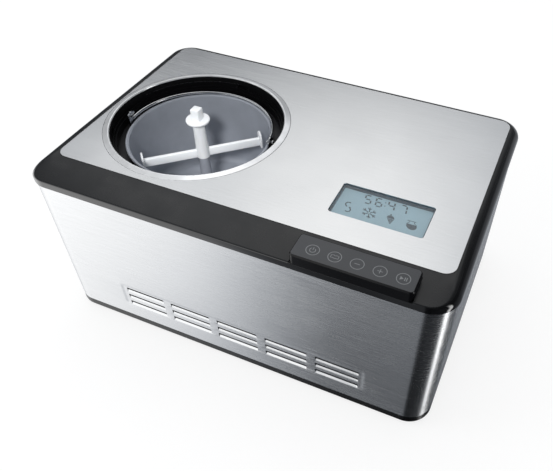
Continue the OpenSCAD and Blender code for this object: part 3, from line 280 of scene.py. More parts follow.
shiny = node(tree, "ShaderNodeBackground", {"Color": cool, "Strength": mirrored})
even = node(tree, "ShaderNodeBackground", {"Color": (0.97, 0.985, 1, 1), "Strength": even_light})
white = node(tree, "ShaderNodeBackground", {"Color": (1, 1, 1, 1), "Strength": 1.0})
by_gloss = node(tree, "ShaderNodeMixShader", {0: path.outputs["Is Glossy Ray"], 1: even.outputs[0],
    2: shiny.outputs[0]})
by_glass = node(tree, "ShaderNodeMixShader", {0: path.outputs["Is Transmission Ray"], 1: by_gloss.outputs[0],
    2: white.outputs[0]})
by_camera = node(tree, "ShaderNodeMixShader", {0: path.outputs["Is Camera Ray"], 1: by_glass.outputs[0],
    2: white.outputs[0]})
node(tree, "ShaderNodeOutputWorld", {"Surface": by_camera.outputs[0]})
print("world by direction:", len(around_stops), "tones round the horizon")

# %% Lamps
def hang(name, data, place, aim):
    """A lamp that lights plain surfaces and leaves the mirrored world to the metal."""
    lamp = bpy.data.objects.new(name, data)
    bpy.context.scene.collection.objects.link(lamp)
    lamp.location = place
    lamp.rotation_euler = (Vector(aim) - Vector(place)).to_track_quat("-Z", "Y").to_euler()
    lamp.visible_glossy = False
    lamp.visible_camera = False


def softbox(name, place, aim, size, power):
    """A rectangular area lamp, in metres and watts."""
    data = bpy.data.lights.new(name, "AREA")
    data.shape = "RECTANGLE"
    data.size, data.size_y = size
    data.energy = power
    hang(name, data, place, aim)


cabinet_middle = (0, 0, 0.1)
paddle_middle = (-0.1026, 0, 0.13)
softbox("overhead", (-0.25, 0.35, 1.5), cabinet_middle, (1.4, 1.0), 4.0)
softbox("left_fill", (-1.3, -0.7, 0.8), cabinet_middle, (0.8, 0.8), 5)

spot = bpy.data.lights.new("well_light", "SPOT")
spot.energy = 46
spot.spot_size = math.radians(11)
spot.spot_blend = 0.4
spot.shadow_soft_size = 0.08
hang("well_light", spot, (0.22, -0.78, 0.85), paddle_middle)
print("lamps:", len(bpy.data.lights))

# %% [markdown]
# ## Plastics and rubber
# Moulded plastic copies the texture of its steel tool: a fine even grain that makes a black part
# satin instead of mirror-like. Hands and cleaning polish it unevenly, so the roughness drifts over
# a few centimetres. Convex edges rub first, which is found by comparing the true normal with a
# softened one. Rubber is duller, with more dust in its grain.

# %% Plastics and rubber
def edges(tree, radius):
    """Close to 1 on sharp edges, 0 on flats."""
    soft = node(tree, "ShaderNodeBevel", {"Radius": radius}, samples=4)
    true = node(tree, "ShaderNodeNewGeometry")
    same = node(tree, "ShaderNodeVectorMath", {0: soft.outputs["Normal"], 1: true.outputs["Normal"]},
        operation="DOT_PRODUCT")
    turned_away, flat = 0.75, 0.98
    return spread(tree, same.outputs["Value"], 1.0, 0.0, turned_away, flat)


def worn(tree, shader, plain_colour, worn_colour, radius, amount):
    """Edges lean towards the worn colour."""
    share = math_node(tree, "MULTIPLY", edges(tree, radius), amount)
    mix = node(tree, "ShaderNodeMix", {0: share, 6: plain_colour, 7: (*worn_colour, 1)}, data_type="RGBA")
    tree.links.new(mix.outputs[2], shader.inputs["Base Color"])


def moulded(name, colour, roughness, grain=0.35 * mm, depth=0.006 * mm, drift=0.06, specular=0.5):
    """Injection moulded plastic with a spark-eroded grain."""
    material, tree, shader = finish(name, colour, roughness=roughness, Specular_IOR_Level=specular)
    cloud = pattern(tree, 28 * mm, detail=3.0)
    body = tint(tree, cloud, shade(colour, 0.85), shade(colour, 1.15))
    worn(tree, shader, body, shade(colour, 1.8), 0.5 * mm, 0.5)
    roughen(tree, shader, cloud, roughness - drift, roughness + drift)
    bumps(tree, shader, pattern(tree, grain, detail=1.0), depth)
    return material


def rubber(name, colour):
    """Matt rubber with dust in its pores."""
    material, tree, shader = finish(name, colour, roughness=0.78, Specular_IOR_Level=0.35)
    dust = pattern(tree, 1.5 * mm, detail=5.0)
    colour_by(tree, shader, dust, shade(colour, 0.7), shade(colour, 1.9))
    roughen(tree, shader, dust, 0.68, 0.88)
    bumps(tree, shader, pattern(tree, 0.25 * mm, detail=2.0), 0.012 * mm)
    return material


finishes = {}
plastics = [
    ("frame_black", (0.0085, 0.009, 0.0098), 0.30, {"depth": 0.004 * mm}),
    ("base_black", (0.004, 0.004, 0.0045), 0.26, {"drift": 0.04}),
    ("rear_black", (0.014, 0.014, 0.015), 0.50, {"grain": 0.8 * mm, "depth": 0.03 * mm}),
    ("collar_black", (0.0035, 0.0035, 0.004), 0.34, {"depth": 0.002 * mm, "specular": 0.14}),
    ("pillar_plastic", (0.03, 0.03, 0.033), 0.55, {}),
    ("fan_black", (0.011, 0.011, 0.012), 0.45, {}),
    ("terminal_grey", (0.05, 0.053, 0.058), 0.5, {}),
    ("relay_blue", (0.02, 0.09, 0.36), 0.35, {}),
    ("key_gloss", (0.004, 0.004, 0.005), 0.12, {"depth": 0.0008 * mm, "drift": 0.03, "specular": 0.25}),
    ("bezel_blue", (0.032, 0.085, 0.125), 0.38, {}),
]
for name, colour, roughness, options in plastics:
    finishes[name] = moulded(name, colour, roughness, **options)
rubbers = [("foot_rubber", (0.017, 0.017, 0.018)), ("gland_rubber", (0.013, 0.013, 0.014)),
    ("seal_rubber", (0.026, 0.026, 0.028))]
for name, colour in rubbers:
    finishes[name] = rubber(name, colour)
print("plastics and rubber:", len(finishes))

# %% [markdown]
# ## Brushed steel
# An abrasive belt leaves long parallel hairlines in stainless sheet. They scatter light across the
# grain and hardly at all along it, so a reflection is drawn out into a streak across the lines.
# The shader does that with its anisotropy along a tangent that stands across the grain: upright on
# the walls, whose grain runs round the cabinet, and front to back on the top plate. Two noises
# stretched along the grain give the hairlines themselves and the wider bands that a belt leaves.

# %% Brushed steel
hair_w = 0.30 * mm
hair_run = 80
band_w = 1.6 * mm
band_run = 40


def brushed(name, colour, run_axes, across, roughness, anisotropic, contrast, depth):
    """Belt-ground sheet. run_axes are 1 along the grain and 0 across it."""
    material, tree, shader = finish(name, colour, metallic=1.0, roughness=roughness, Anisotropic=anisotropic)
    hairs = pattern(tree, hair_w, stretch=tuple(1 + hair_run * a for a in run_axes))
    bands = pattern(tree, band_w, stretch=tuple(1 + band_run * a for a in run_axes))
    cloud = pattern(tree, 60 * mm)
    lines = node(tree, "ShaderNodeMix", {0: 0.35, 2: hairs, 3: bands}).outputs[0]
    dark, light = shade(colour, 1 - contrast), shade(colour, 1 + contrast)
    body = tint(tree, spread(tree, lines, 0.0, 1.0), dark, light)
    worn(tree, shader, body, shade(colour, 1.15), 0.4 * mm, 0.5)
    by_line = spread(tree, lines, -0.05, 0.05)
    by_place = spread(tree, cloud, roughness - 0.02, roughness + 0.02)
    tree.links.new(math_node(tree, "ADD", by_line, by_place), shader.inputs["Roughness"])
    stand = node(tree, "ShaderNodeCombineXYZ", {"X": across[0], "Y": across[1], "Z": across[2]})
    tree.links.new(stand.outputs["Vector"], shader.inputs["Tangent"])
    bumps(tree, shader, lines, depth, strength=0.6)
    return material


finishes["wrap_steel"] = brushed("wrap_steel", (0.80, 0.81, 0.82), (1, 1, 0), (0, 0, 1), 0.24, 0.75,
    contrast=0.06, depth=0.0005 * mm)
finishes["plate_steel"] = brushed("plate_steel", (0.80, 0.81, 0.815), (1, 0, 0), (0, 1, 0), 0.22, 0.55,
    contrast=0.07, depth=0.0007 * mm)
print("brushed steel: 2")

# %% [markdown]
# ## Other metals
# The ring is polished and plated. The bowl is drawn aluminium with a fine satin skin, greyer than
# steel, and the cooled cup is aluminium under black hard coat. Their metallic share is well below
# one, which keeps the mirrored room faint in them. Copper lines tarnish in clouds towards brown.
# Zinc, screws and fins are bright but uneven, and the compressor shells are steel under baked
# black enamel.

# %% Other metals
def metal(name, colour, roughness, drift=0.06, cloud_size=12 * mm, tarnish=None, depth=0.004 * mm,
    metallic=1.0):
    """Bare or plated metal, with clouds of tarnish and a fine skin."""
    material, tree, shader = finish(name, colour, metallic=metallic, roughness=roughness)
    cloud = pattern(tree, cloud_size, detail=4.0)
    aged = tarnish or shade(colour, 0.85)
    body = tint(tree, spread(tree, cloud, 0.0, 1.0), colour, aged)
    worn(tree, shader, body, shade(colour, 1.2), 0.3 * mm, 0.5)
    roughen(tree, shader, cloud, max(0.03, roughness - drift), roughness + drift)
    bumps(tree, shader, pattern(tree, 0.4 * mm, detail=2.0), depth)
    return material


def enamel(name, colour):
    """Baked enamel on steel, with orange peel."""
    material, tree, shader = finish(name, colour, roughness=0.30, Coat_Weight=0.5, Coat_Roughness=0.12)
    peel = pattern(tree, 2.2 * mm, detail=2.0)
    colour_by(tree, shader, peel, shade(colour, 0.8), shade(colour, 1.3))
    roughen(tree, shader, peel, 0.24, 0.38)
    bumps(tree, shader, peel, 0.03 * mm)
    return material


metals = [
    ("ring_chrome", (0.95, 0.96, 0.97), 0.16, {"drift": 0.03, "depth": 0.0004 * mm, "metallic": 0.58}),
    ("cup_aluminium", (0.022, 0.022, 0.024), 0.42, {"metallic": 0.4}),
    ("bowl_aluminium", (0.40, 0.425, 0.475), 0.50,
        {"drift": 0.04, "cloud_size": 30 * mm, "depth": 0.003 * mm, "metallic": 0.3}),
    ("spindle_aluminium", (0.38, 0.40, 0.45), 0.46, {"metallic": 0.3}),
    ("ear_steel", (0.62, 0.63, 0.65), 0.22, {}),
    ("wire_steel", (0.78, 0.79, 0.80), 0.14, {"drift": 0.03, "depth": 0.001 * mm}),
    ("copper", (0.80, 0.36, 0.19), 0.28, {"tarnish": (0.38, 0.17, 0.09)}),
    ("bush_brass", (0.70, 0.50, 0.20), 0.30, {}),
    ("spring_metal", (0.66, 0.50, 0.22), 0.28, {}),
    ("sensor_metal", (0.66, 0.66, 0.66), 0.30, {}),
    ("screw_steel", (0.62, 0.63, 0.62), 0.30, {"tarnish": (0.44, 0.43, 0.38)}),
    ("screw_black", (0.035, 0.035, 0.038), 0.38, {}),
    ("bracket_zinc", (0.52, 0.54, 0.55), 0.38, {"cloud_size": 5 * mm}),
    ("fin_aluminium", (0.74, 0.75, 0.76), 0.34, {}),
    ("can_aluminium", (0.60, 0.61, 0.62), 0.32, {}),
]
for name, colour, roughness, options in metals:
    finishes[name] = metal(name, colour, roughness, **options)
finishes["compressor_black"] = enamel("compressor_black", (0.009, 0.009, 0.010))
print("finishes so far:", len(finishes))

# %% [markdown]
# ## Electrics, foam and the paddle
# Solder mask is a green lacquer over glass cloth, whose weave shows as a fine relief. The relay's neighbour
# is a transformer in yellow tape. The foam is blown polyurethane: cream and porous, with painted shade that
# darkens its pits. The paddle is white polypropylene, which lets light in a few millimetres, so it looks
# soft at its thin edges. The key film is a printed polycarbonate sheet with a satin face.

# %% Electrics, foam, film and paddle
def weave(name, colour, pitch):
    """Lacquered glass cloth."""
    material, tree, shader = finish(name, colour, roughness=0.36, Coat_Weight=0.3, Coat_Roughness=0.2)
    place = node(tree, "ShaderNodeTexCoord").outputs["Object"]
    threads = {"Vector": place, "Scale": 1 / (20 * pitch), "Distortion": 0.0}
    warp, weft = [node(tree, "ShaderNodeTexWave", threads, wave_type="BANDS", bands_direction=axis)
        for axis in "XY"]
    cloth = math_node(tree, "MULTIPLY", warp.outputs["Fac"], weft.outputs["Fac"])
    cloud = pattern(tree, 9 * mm, detail=3.0)
    colour_by(tree, shader, cloud, shade(colour, 0.75), shade(colour, 1.3))
    roughen(tree, shader, cloud, 0.30, 0.44)
    bumps(tree, shader, cloth, 0.03 * mm)
    return material


def foam(name, colour):
    """Blown foam with open pits, darkened in them by painted shade."""
    material, tree, shader = finish(name, colour, roughness=0.92, Specular_IOR_Level=0.2)
    place = node(tree, "ShaderNodeTexCoord").outputs["Object"]
    cells = node(tree, "ShaderNodeTexVoronoi", {"Vector": place, "Scale": 1 / (2.5 * mm)})
    pits_and_shade = spread(tree, cells.outputs["Distance"], 0.0, 1.0, 0.0, 0.5)
    # The pits are painted darker: this is painted shade, not a colour of the foam.
    colour_by(tree, shader, pits_and_shade, shade(colour, 0.62), colour)
    roughen(tree, shader, pits_and_shade, 0.96, 0.84, 0, 1)
    bumps(tree, shader, pits_and_shade, 0.5 * mm)
    return material


def milky(name, colour):
    """White polypropylene that lets light into its thin parts."""
    material, tree, shader = finish(name, colour, roughness=0.34, Subsurface_Weight=0.35,
        Subsurface_Radius=(0.0040, 0.0042, 0.0044), Subsurface_Scale=1.0)
    cloud = pattern(tree, 14 * mm, detail=3.0)
    body = tint(tree, cloud, shade(colour, 0.965), colour)
    worn(tree, shader, body, shade(colour, 1.05), 0.6 * mm, 0.4)
    roughen(tree, shader, cloud, 0.30, 0.40)
    bumps(tree, shader, pattern(tree, 0.6 * mm, detail=2.0), 0.004 * mm)
    return material


def tape(name, colour):
    """Yellow tape over laminations, in fine flat layers."""
    material, tree, shader = finish(name, colour, roughness=0.45)
    layers = pattern(tree, 0.6 * mm, stretch=(30, 30, 1), detail=1.0)
    colour_by(tree, shader, layers, shade(colour, 0.6), shade(colour, 1.1))
    roughen(tree, shader, layers, 0.35, 0.55)
    bumps(tree, shader, layers, 0.05 * mm)
    return material


finishes["board_green"] = weave("board_green", (0.022, 0.13, 0.045), 0.8 * mm)
finishes["foam"] = foam("foam", (0.70, 0.60, 0.40))
finishes["winding_yellow"] = tape("winding_yellow", (0.60, 0.36, 0.05))
finishes["paddle_white"] = milky("paddle_white", (0.84, 0.86, 0.88))
finishes["key_film"] = moulded("key_film", (0.058, 0.061, 0.067), 0.36, grain=0.18 * mm, depth=0.002 * mm)
print("finishes so far:", len(finishes))

# %% [markdown]
# ## Display
# A clear acrylic window lies flush in the plate over a dark blue well. The liquid crystal cell glows faintly
# from its backlight, with the fine mottle of its diffuser.

# %% Display finishes
def clear(name):
    """Polished acrylic with faint wiping marks."""
    material, tree, shader = finish(name, (0.93, 0.97, 0.99), roughness=0.03, Transmission_Weight=1.0,
        IOR=1.46)
    wipes = pattern(tree, 2 * mm, stretch=(14, 1, 1), detail=4.0)
    roughen(tree, shader, wipes, 0.02, 0.07)
    bumps(tree, shader, wipes, 0.0005 * mm)
    return material


def lit(name, colour, strength):
    """A surface that glows through its diffuser."""
    material, tree, shader = finish(name, colour, roughness=0.5, Emission_Strength=strength)
    mottle = pattern(tree, 7 * mm, detail=3.0)
    body = tint(tree, mottle, shade(colour, 0.94), shade(colour, 1.05))
    tree.links.new(body, shader.inputs["Base Color"])
    tree.links.new(body, shader.inputs["Emission Color"])
    roughen(tree, shader, mottle, 0.45, 0.55)
    bumps(tree, shader, pattern(tree, 0.3 * mm, detail=1.0), 0.001 * mm)
    return material


finishes["window_clear"] = clear("window_clear")
finishes["lcd_blue"] = lit("lcd_blue", (0.335, 0.47, 0.53), 0.12)
finishes["light_white"] = lit("light_white", (0.82, 0.85, 0.88), 0.2)

slot_of = {row["node"]: row["material_slot"] for row in frame["record"]["subparts"]}
for name, slot_name in slot_of.items():
    for holder in nodes[name].material_slots:
        holder.material = finishes[slot_name]
print("finishes:", len(finishes), "solids dressed:", len(slot_of))

# %% [markdown]
# ## Mesh helpers
# The pieces that follow are built point by point in millimetres and turned into metres at the end.
# Each one is a closed surface: rings of equally many points joined by quads, with flat caps where
# a form ends. A piece rides on the body that carries the real one and names its material slot.

# %% Mesh helpers
def piece(name, points, faces, slot_name, body="cabinet", smooth=35):
    """A closed mesh from points in millimetres, dressed and riding on its body."""
    mesh = bpy.data.meshes.new(name)
    mesh.from_pydata([Vector(p) * mm for p in points], [], faces)
    made = bpy.data.objects.new(name, mesh)
    bpy.context.scene.collection.objects.link(made)
    mesh.materials.append(finishes[slot_name])
    tidy(made, smooth)
    if body:
        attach(made, body)
    return made


def tidy(made, smooth=35):
    """Welds doubled points, turns normals outwards and sets sharp edges by angle."""
    work = bmesh.new()
    work.from_mesh(made.data)
    bmesh.ops.remove_doubles(work, verts=work.verts, dist=0.0005 * mm)
    bmesh.ops.dissolve_degenerate(work, edges=work.edges, dist=0.0005 * mm)
    bmesh.ops.recalc_face_normals(work, faces=work.faces)
    work.to_mesh(made.data)
    work.free()
    made.data.polygons.foreach_set("use_smooth", [True] * len(made.data.polygons))
    made.data.set_sharp_from_angle(angle=math.radians(smooth))


def settle(made, smooth=35):
    """Bakes an object's modifiers into its mesh."""
    seen = made.evaluated_get(bpy.context.evaluated_depsgraph_get())
    mesh = bpy.data.meshes.new_from_object(seen)
    made.modifiers.clear()
    made.data = mesh
    tidy(made, smooth)
    return made


def combine(made, others, operation, smooth=35):
    """Exact boolean with other meshes, which are used up."""
    for other in others:
        step = made.modifiers.new("combine", "BOOLEAN")
        step.operation = operation
        step.solver = "EXACT"
        step.object = other
    settle(made, smooth)
    for other in others:
        bpy.data.objects.remove(other)
    return made


def softened(made, width, angle=40):
    """Rounds the edges sharper than an angle. Width in mm."""
    step = made.modifiers.new("round", "BEVEL")
    step.width = width * mm
    step.segments = 3
    step.limit_method = "ANGLE"
    step.angle_limit = math.radians(angle)
    step.harden_normals = False
    return settle(made)


def loft(rings, closed=False):
    """Quads between rings of equally many points. Returns points and faces."""
    count = len(rings[0])
    points = [p for ring in rings for p in ring]
    pairs = list(zip(range(len(rings) - 1), range(1, len(rings))))
    if closed:
        pairs.append((len(rings) - 1, 0))
    faces = [(a * count + k, a * count + (k + 1) % count, b * count + (k + 1) % count, b * count + k)
        for a, b in pairs for k in range(count)]
    if not closed:
        faces.append(tuple(reversed(range(count))))
        faces.append(tuple(range((len(rings) - 1) * count, len(rings) * count)))
    return points, faces


def lathe(profile, x=0.0, y=0.0, steps=96):
    """A closed profile of (radius, height) turned about an upright axis."""
    rings = [[(x + r * math.cos(2 * math.pi * k / steps), y + r * math.sin(2 * math.pi * k / steps), z)
        for k in range(steps)] for r, z in profile]
    return loft(rings, closed=True)


def prism(outline_points, low, high):
    """A flat outline raised from low to high."""
    return loft([[(x, y, z) for x, y in outline_points] for z in (low, high)])


def joined(parts):
    """Several (points, faces) as one."""
    points, faces = [], []
    for some_points, some_faces in parts:
        faces += [tuple(i + len(points) for i in face) for face in some_faces]
        points += some_points
    return points, faces


def arc(cx, cy, r, start, end, steps=12):
    """Points of an arc, angles in degrees."""
    return [(cx + r * math.cos(math.radians(start + (end - start) * i / steps)),
        cy + r * math.sin(math.radians(start + (end - start) * i / steps))) for i in range(steps + 1)]


def rounded(w, d, r, x, y):
    """A rounded rectangle seen from above."""
    corners = [(1, -1), (1, 1), (-1, 1), (-1, -1)]
    return [p for quarter, (sx, sy) in enumerate(corners)
        for p in arc(x + sx * (w / 2 - r), y + sy * (d / 2 - r), r, 90 * quarter - 90, 90 * quarter)]


def ease(value):
    """0 to 1 with soft ends."""
    value = min(1.0, max(0.0, value))
    return value * value * (3 - 2 * value)


def in_mm(node_name):
    """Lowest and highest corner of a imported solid, in mm."""
    low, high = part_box(node_name)
    return low / mm, high / mm


frame_low, frame_high = in_mm("top_frame")
wrap_low, wrap_high = in_mm("steel_wrap")
plate_low, plate_high = in_mm("top_plate")
ring_low, ring_high = in_mm("trim_ring")
keys_low, keys_high = in_mm("key_block")
window_low, window_high = in_mm("display_window")
well_x = (ring_low.x + ring_high.x) / 2
well_y = (ring_low.y + ring_high.y) / 2
print("well axis", round(well_x, 2), round(well_y, 2), "plate top", round(plate_high.z, 2))

# %% [markdown]
# ## Top frame
# The frame is one moulding. Its front is a wide band that falls a little forward and ends in a
# crisp glossy lip, while its sides and back turn over in a soft radius, and the two edges blend
# into each other behind the front corners. Here every ring has the same points: the outer wall
# rises, turns over by a radius that depends on how far back the point lies, and runs inwards to
# the rim of the plate's recess. Then the deck's openings are cut: the well, the display, the
# keys' seat and the screw holes.

# %% Top frame
body_w = frame_high.x - frame_low.x
body_d = frame_high.y - frame_low.y
corner_r = 26.0
frame_top = frame_high.z
front_top = frame_top - 1.9
lip_bottom = frame_low.z
side_edge = 9.5
front_edge = 1.5
plate_w = plate_high.x - plate_low.x
plate_d = plate_high.y - plate_low.y
plate_y = (plate_high.y + plate_low.y) / 2
plate_r = 11.0
plate_gap = 0.25
plate_under = plate_low.z
deck_under = plate_under - 4.0
groove = (1.3, 2.7, 3.5)
groove_top = wrap_high.z + 0.3
side_stops = [0, 0.25, 0.5, 0.75, 1.0]


def frame_ring(w, d, r, y=0.0):
    """Outline with extra points along the sides, where the edge radius changes."""
    steps = 14
    hx, hy = w / 2 - r, d / 2 - r
    ring = arc(hx, y - hy, r, -90, 0, steps)
    ring += [(w / 2, y - hy + 2 * hy * t) for t in side_stops[1:-1]]
    ring += arc(hx, y + hy, r, 0, 90, steps)
    ring += arc(-hx, y + hy, r, 90, 180, steps)
    ring += [(-w / 2, y + hy - 2 * hy * (1 - t)) for t in reversed(side_stops[1:-1])]
    ring += arc(-hx, y - hy, r, 180, 270, steps)
    return ring


def edge_at(y):
    """Edge radius: crisp along the front, soft from the corners on."""
    turn = math.degrees(math.acos(min(1.0, max(-1.0, (frame_low.y + corner_r - y) / corner_r))))
    return front_edge + (side_edge_at(y) - front_edge) * ease((turn - 12) / 70)


def side_edge_at(y):
    """Radius of the soft edge, as deep as the band's height allows."""
    return min(side_edge, top_at(y) - lip_bottom - 0.2)


def top_at(y):
    """Height of the band, which rises to the plate's front edge."""
    rise = (y - (frame_low.y + front_edge)) / (plate_low.y - frame_low.y - front_edge)
    return front_top + (frame_top - front_top) * min(1.0, max(0.0, rise))


def inset_ring(offset, z):
    """The outer outline moved inwards."""
    return [(x, y, z) for x, y in frame_ring(body_w - 2 * offset, body_d - 2 * offset, corner_r - offset)]


outer = frame_ring(body_w, body_d, corner_r)
one_mm_in = frame_ring(body_w - 2, body_d - 2, corner_r - 1)
inner = frame_ring(plate_w + 2 * plate_gap, plate_d + 2 * plate_gap, plate_r + plate_gap, plate_y)
rings = [inset_ring(0, lip_bottom)]
edge_steps = 8
for step in range(edge_steps + 1):
    angle = math.pi / 2 * step / edge_steps
    ring = []
    for (x, y), (in_x, in_y) in zip(outer, one_mm_in):
        radius = edge_at(y)
        back = radius * (1 - math.cos(angle))
        z = top_at(y) - radius + radius * math.sin(angle)
        ring.append((x + (in_x - x) * back, y + (in_y - y) * back, z))
    rings.append(ring)
turned_in = rings[-1]
for share in (0.5, 0.97):
    ring = []
    for (x, y, z), (px, py) in zip(turned_in, inner):
        at_y = y + (py - y) * share
        ring.append((x + (px - x) * share, at_y, top_at(at_y)))
    rings.append(ring)
rings.append([(x, y, frame_top - 0.2) for x, y in inner])
rings.append([(x, y, plate_under) for x, y in inner])
under = [[(x, y, deck_under) for x, y, z in inset_ring(groove[2], 0)], inset_ring(groove[2], lip_bottom),
    inset_ring(groove[1], lip_bottom), inset_ring(groove[1], groove_top), inset_ring(groove[0], groove_top),
    inset_ring(groove[0], lip_bottom)]
frame_piece = piece("top_frame_moulding", *loft(under + rings), "frame_black")

keys_w = 108.0
keys_d = 27.5
keys_seat = lip_bottom + 6.5
keys_x = (keys_low.x + keys_high.x) / 2
keys_y = frame_low.y + 0.1 + keys_d / 2
window_x = (window_low.x + window_high.x) / 2
window_y = (window_low.y + window_high.y) / 2
deck_hole_r = 99.0
screw_r = 2.0
screw_head_r = 3.8
screw_seat = plate_under - 2
cut_low = deck_under - 1
cut_high = frame_top + 1
pillar_x = body_w / 2 - corner_r
pillar_spots = [(sx * pillar_x, y) for sx in (-1, 1) for y in (plate_low.y + 12.5, body_d / 2 - corner_r)]
well_cut = [(0, cut_low), (deck_hole_r, cut_low), (deck_hole_r, cut_high), (0, cut_high)]
window_w = window_high.x - window_low.x + 0.6
window_d = window_high.y - window_low.y + 0.6
screw_cut = [(0, cut_low), (screw_r, cut_low), (screw_r, screw_seat), (screw_head_r, screw_seat),
    (screw_head_r, plate_under + 1), (0, plate_under + 1)]
cutters = [lathe(well_cut, well_x, well_y, 128)]
cutters.append(prism(rounded(window_w, window_d, 3, window_x, window_y), cut_low, cut_high))
cutters += [lathe(screw_cut, x, y, 32) for x, y in pillar_spots]
seat = prism(rounded(keys_w, keys_d + 2, 0.4, keys_x, keys_y - 1), keys_seat, frame_top + 3)
port = prism(rounded(keys_w - 12, keys_d - 12, 2, keys_x, keys_y), cut_low, keys_seat + 1)
combine(frame_piece, [piece("cut_deck", *joined(cutters), "frame_black", body=None),
    piece("cut_seat", *seat, "frame_black", body=None), piece("cut_port", *port, "frame_black", body=None)],
    "DIFFERENCE", smooth=30)
print("top frame:", len(frame_piece.data.vertices), "points")

# %% [markdown]
# The lip is polished in the mould, unlike the band above it. It gets a lacquer-like gloss of its
# own, so the moulding carries two finishes, split along the front edge.

# %% Glossy lip
lip_gloss, tree, shader = finish("lip_gloss", (0.003, 0.003, 0.004), roughness=0.10, Coat_Weight=1.0,
    Coat_Roughness=0.05, Coat_IOR=1.6, Specular_IOR_Level=0.2)
lip_cloud = pattern(tree, 22 * mm, detail=3.0)
roughen(tree, shader, lip_cloud, 0.08, 0.15)
worn(tree, shader, tint(tree, lip_cloud, (0.002, 0.002, 0.0025), (0.004, 0.004, 0.0045)), (0.03, 0.03, 0.03),
    0.3 * mm, 0.5)
bumps(tree, shader, pattern(tree, 3 * mm, detail=2.0), 0.004 * mm)
frame_piece.data.materials.append(lip_gloss)
for face in frame_piece.data.polygons:
    outside = face.normal.x * face.center.x + face.normal.y * face.center.y > 0
    if outside and 0.0 <= face.normal.z + 0.01 < 0.93:
        face.material_index = 1
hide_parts("top_frame")
print("lip faces:", sum(face.material_index for face in frame_piece.data.polygons))

# %% [markdown]
# ## Steel wrap
# One sheet is bent round the cabinet. Its front carries five groups of three louvres in a shallow
# pressed field. A press slits the sheet and pushes the metal below the slit inwards, so under each
# dark slit lies a lip that leans back and catches the light from above, with small rounded ends.
# The sheet is a grid along its perimeter and its height: the grid's lines follow the louvres, the
# quads of the slits are left out, and a depth in every point gives the pressing. The grid is then
# thickened inwards by the sheet's own thickness.

# %% Steel wrap
sheet_t = 1.0
wrap_r = corner_r - 1.5
wrap_hx = (wrap_high.x - wrap_low.x) / 2
wrap_hy = (wrap_high.y - wrap_low.y) / 2
slot_l = 45.7
slot_half = 1.6
slot_pitch = 54.9
slot_row = 10.65
slot_z = 39.1
first_slot = -103.15
slot_xs = [first_slot + i * slot_pitch for i in range(5)]
slot_zs = [slot_z + i * slot_row for i in range(3)]
slit_top = 1.0
slit_h = 3.4
lip_depth = 0.8
lip_run = 2.8
lip_end = 1.6
field = (slot_xs[0] - slot_l / 2 - 8.5, slot_xs[-1] + slot_l / 2 + 7.5, slot_zs[0] - slot_half - 5,
    slot_zs[-1] + slot_half + 5)
field_sink = 0.45
field_side = 5.5
field_fade = 5.0
rear_half = (body_w - 2 * corner_r - 24) / 2
rear_z = (wrap_low.z + 14, lip_bottom - 8)


def field_depth(x, z):
    """Depth of the pressed field: quick at its ends, gradual above and below."""
    ends = ease((x - field[0]) / field_side) * ease((field[1] - x) / field_side)
    return field_sink * ends * ease((z - field[2]) / field_fade) * ease((field[3] - z) / field_fade)


def lip_push(x, z):
    """Extra depth of the lip below a slit."""
    for cx in slot_xs:
        inside = slot_l / 2 - abs(x - cx)
        if inside <= 0:
            continue
        for cz in slot_zs:
            below = (cz + slit_top - slit_h) - z
            if -0.01 <= below <= lip_run:
                end = min(1.0, inside / lip_end)
                return lip_depth * math.sqrt(1 - (1 - end) ** 2) * (1 - below / lip_run) ** 1.15
    return 0.0


end_steps = [0, 0.1, 0.3, 0.6, 1.0, lip_end]
front_xs = [slot_l / 2 * side - side * step + cx for cx in slot_xs for side in (-1, 1) for step in end_steps]
front_xs += [cx + slot_l * part for cx in slot_xs for part in (-0.25, 0, 0.25)]
front_xs += [field[0] + field_side * i / 5 for i in range(6)]
front_xs += [field[1] - field_side * i / 5 for i in range(6)]
front_xs = sorted(x for x in front_xs if abs(x) < wrap_hx - wrap_r)
front_line = [(x, -wrap_hy) for x in front_xs]
back_line = [(x, wrap_hy) for x in (rear_half, 60, 0, -60, -rear_half)]
corner_steps = 24
perimeter = front_line + arc(wrap_hx - wrap_r, -wrap_hy + wrap_r, wrap_r, -90, 0, corner_steps)
perimeter += [(wrap_hx, y) for y in (-60, 0, 60)]
perimeter += arc(wrap_hx - wrap_r, wrap_hy - wrap_r, wrap_r, 0, 90, corner_steps) + back_line
perimeter += arc(-wrap_hx + wrap_r, wrap_hy - wrap_r, wrap_r, 90, 180, corner_steps)
perimeter += [(-wrap_hx, y) for y in (60, 0, -60)]
perimeter += arc(-wrap_hx + wrap_r, -wrap_hy + wrap_r, wrap_r, 180, 270, corner_steps)
heights = {wrap_low.z, wrap_high.z, 100.0, 140.0, rear_z[0], rear_z[1]}
for cz in slot_zs:
    top = cz + slit_top
    heights |= {top, top - slit_h} | {top - slit_h - lip_run * i / 6 for i in range(1, 7)}
heights |= {field[2] + field_fade * i / 5 for i in range(6)}
heights |= {field[3] - field_fade * i / 5 for i in range(6)}
heights = sorted(heights)
heights = [z for i, z in enumerate(heights) if i == 0 or z - heights[i - 1] > 0.12]


def wrap_point(k, z, inwards):
    """A point of the sheet's outer or inner skin."""
    x, y = perimeter[k]
    cx = max(-(wrap_hx - wrap_r), min(wrap_hx - wrap_r, x))
    cy = max(-(wrap_hy - wrap_r), min(wrap_hy - wrap_r, y))
    away = Vector((x - cx, y - cy)).normalized()
    depth = inwards
    if k < len(front_line):
        depth += field_depth(x, z) + lip_push(x, z)
    return (x - away.x * depth, y - away.y * depth, z)


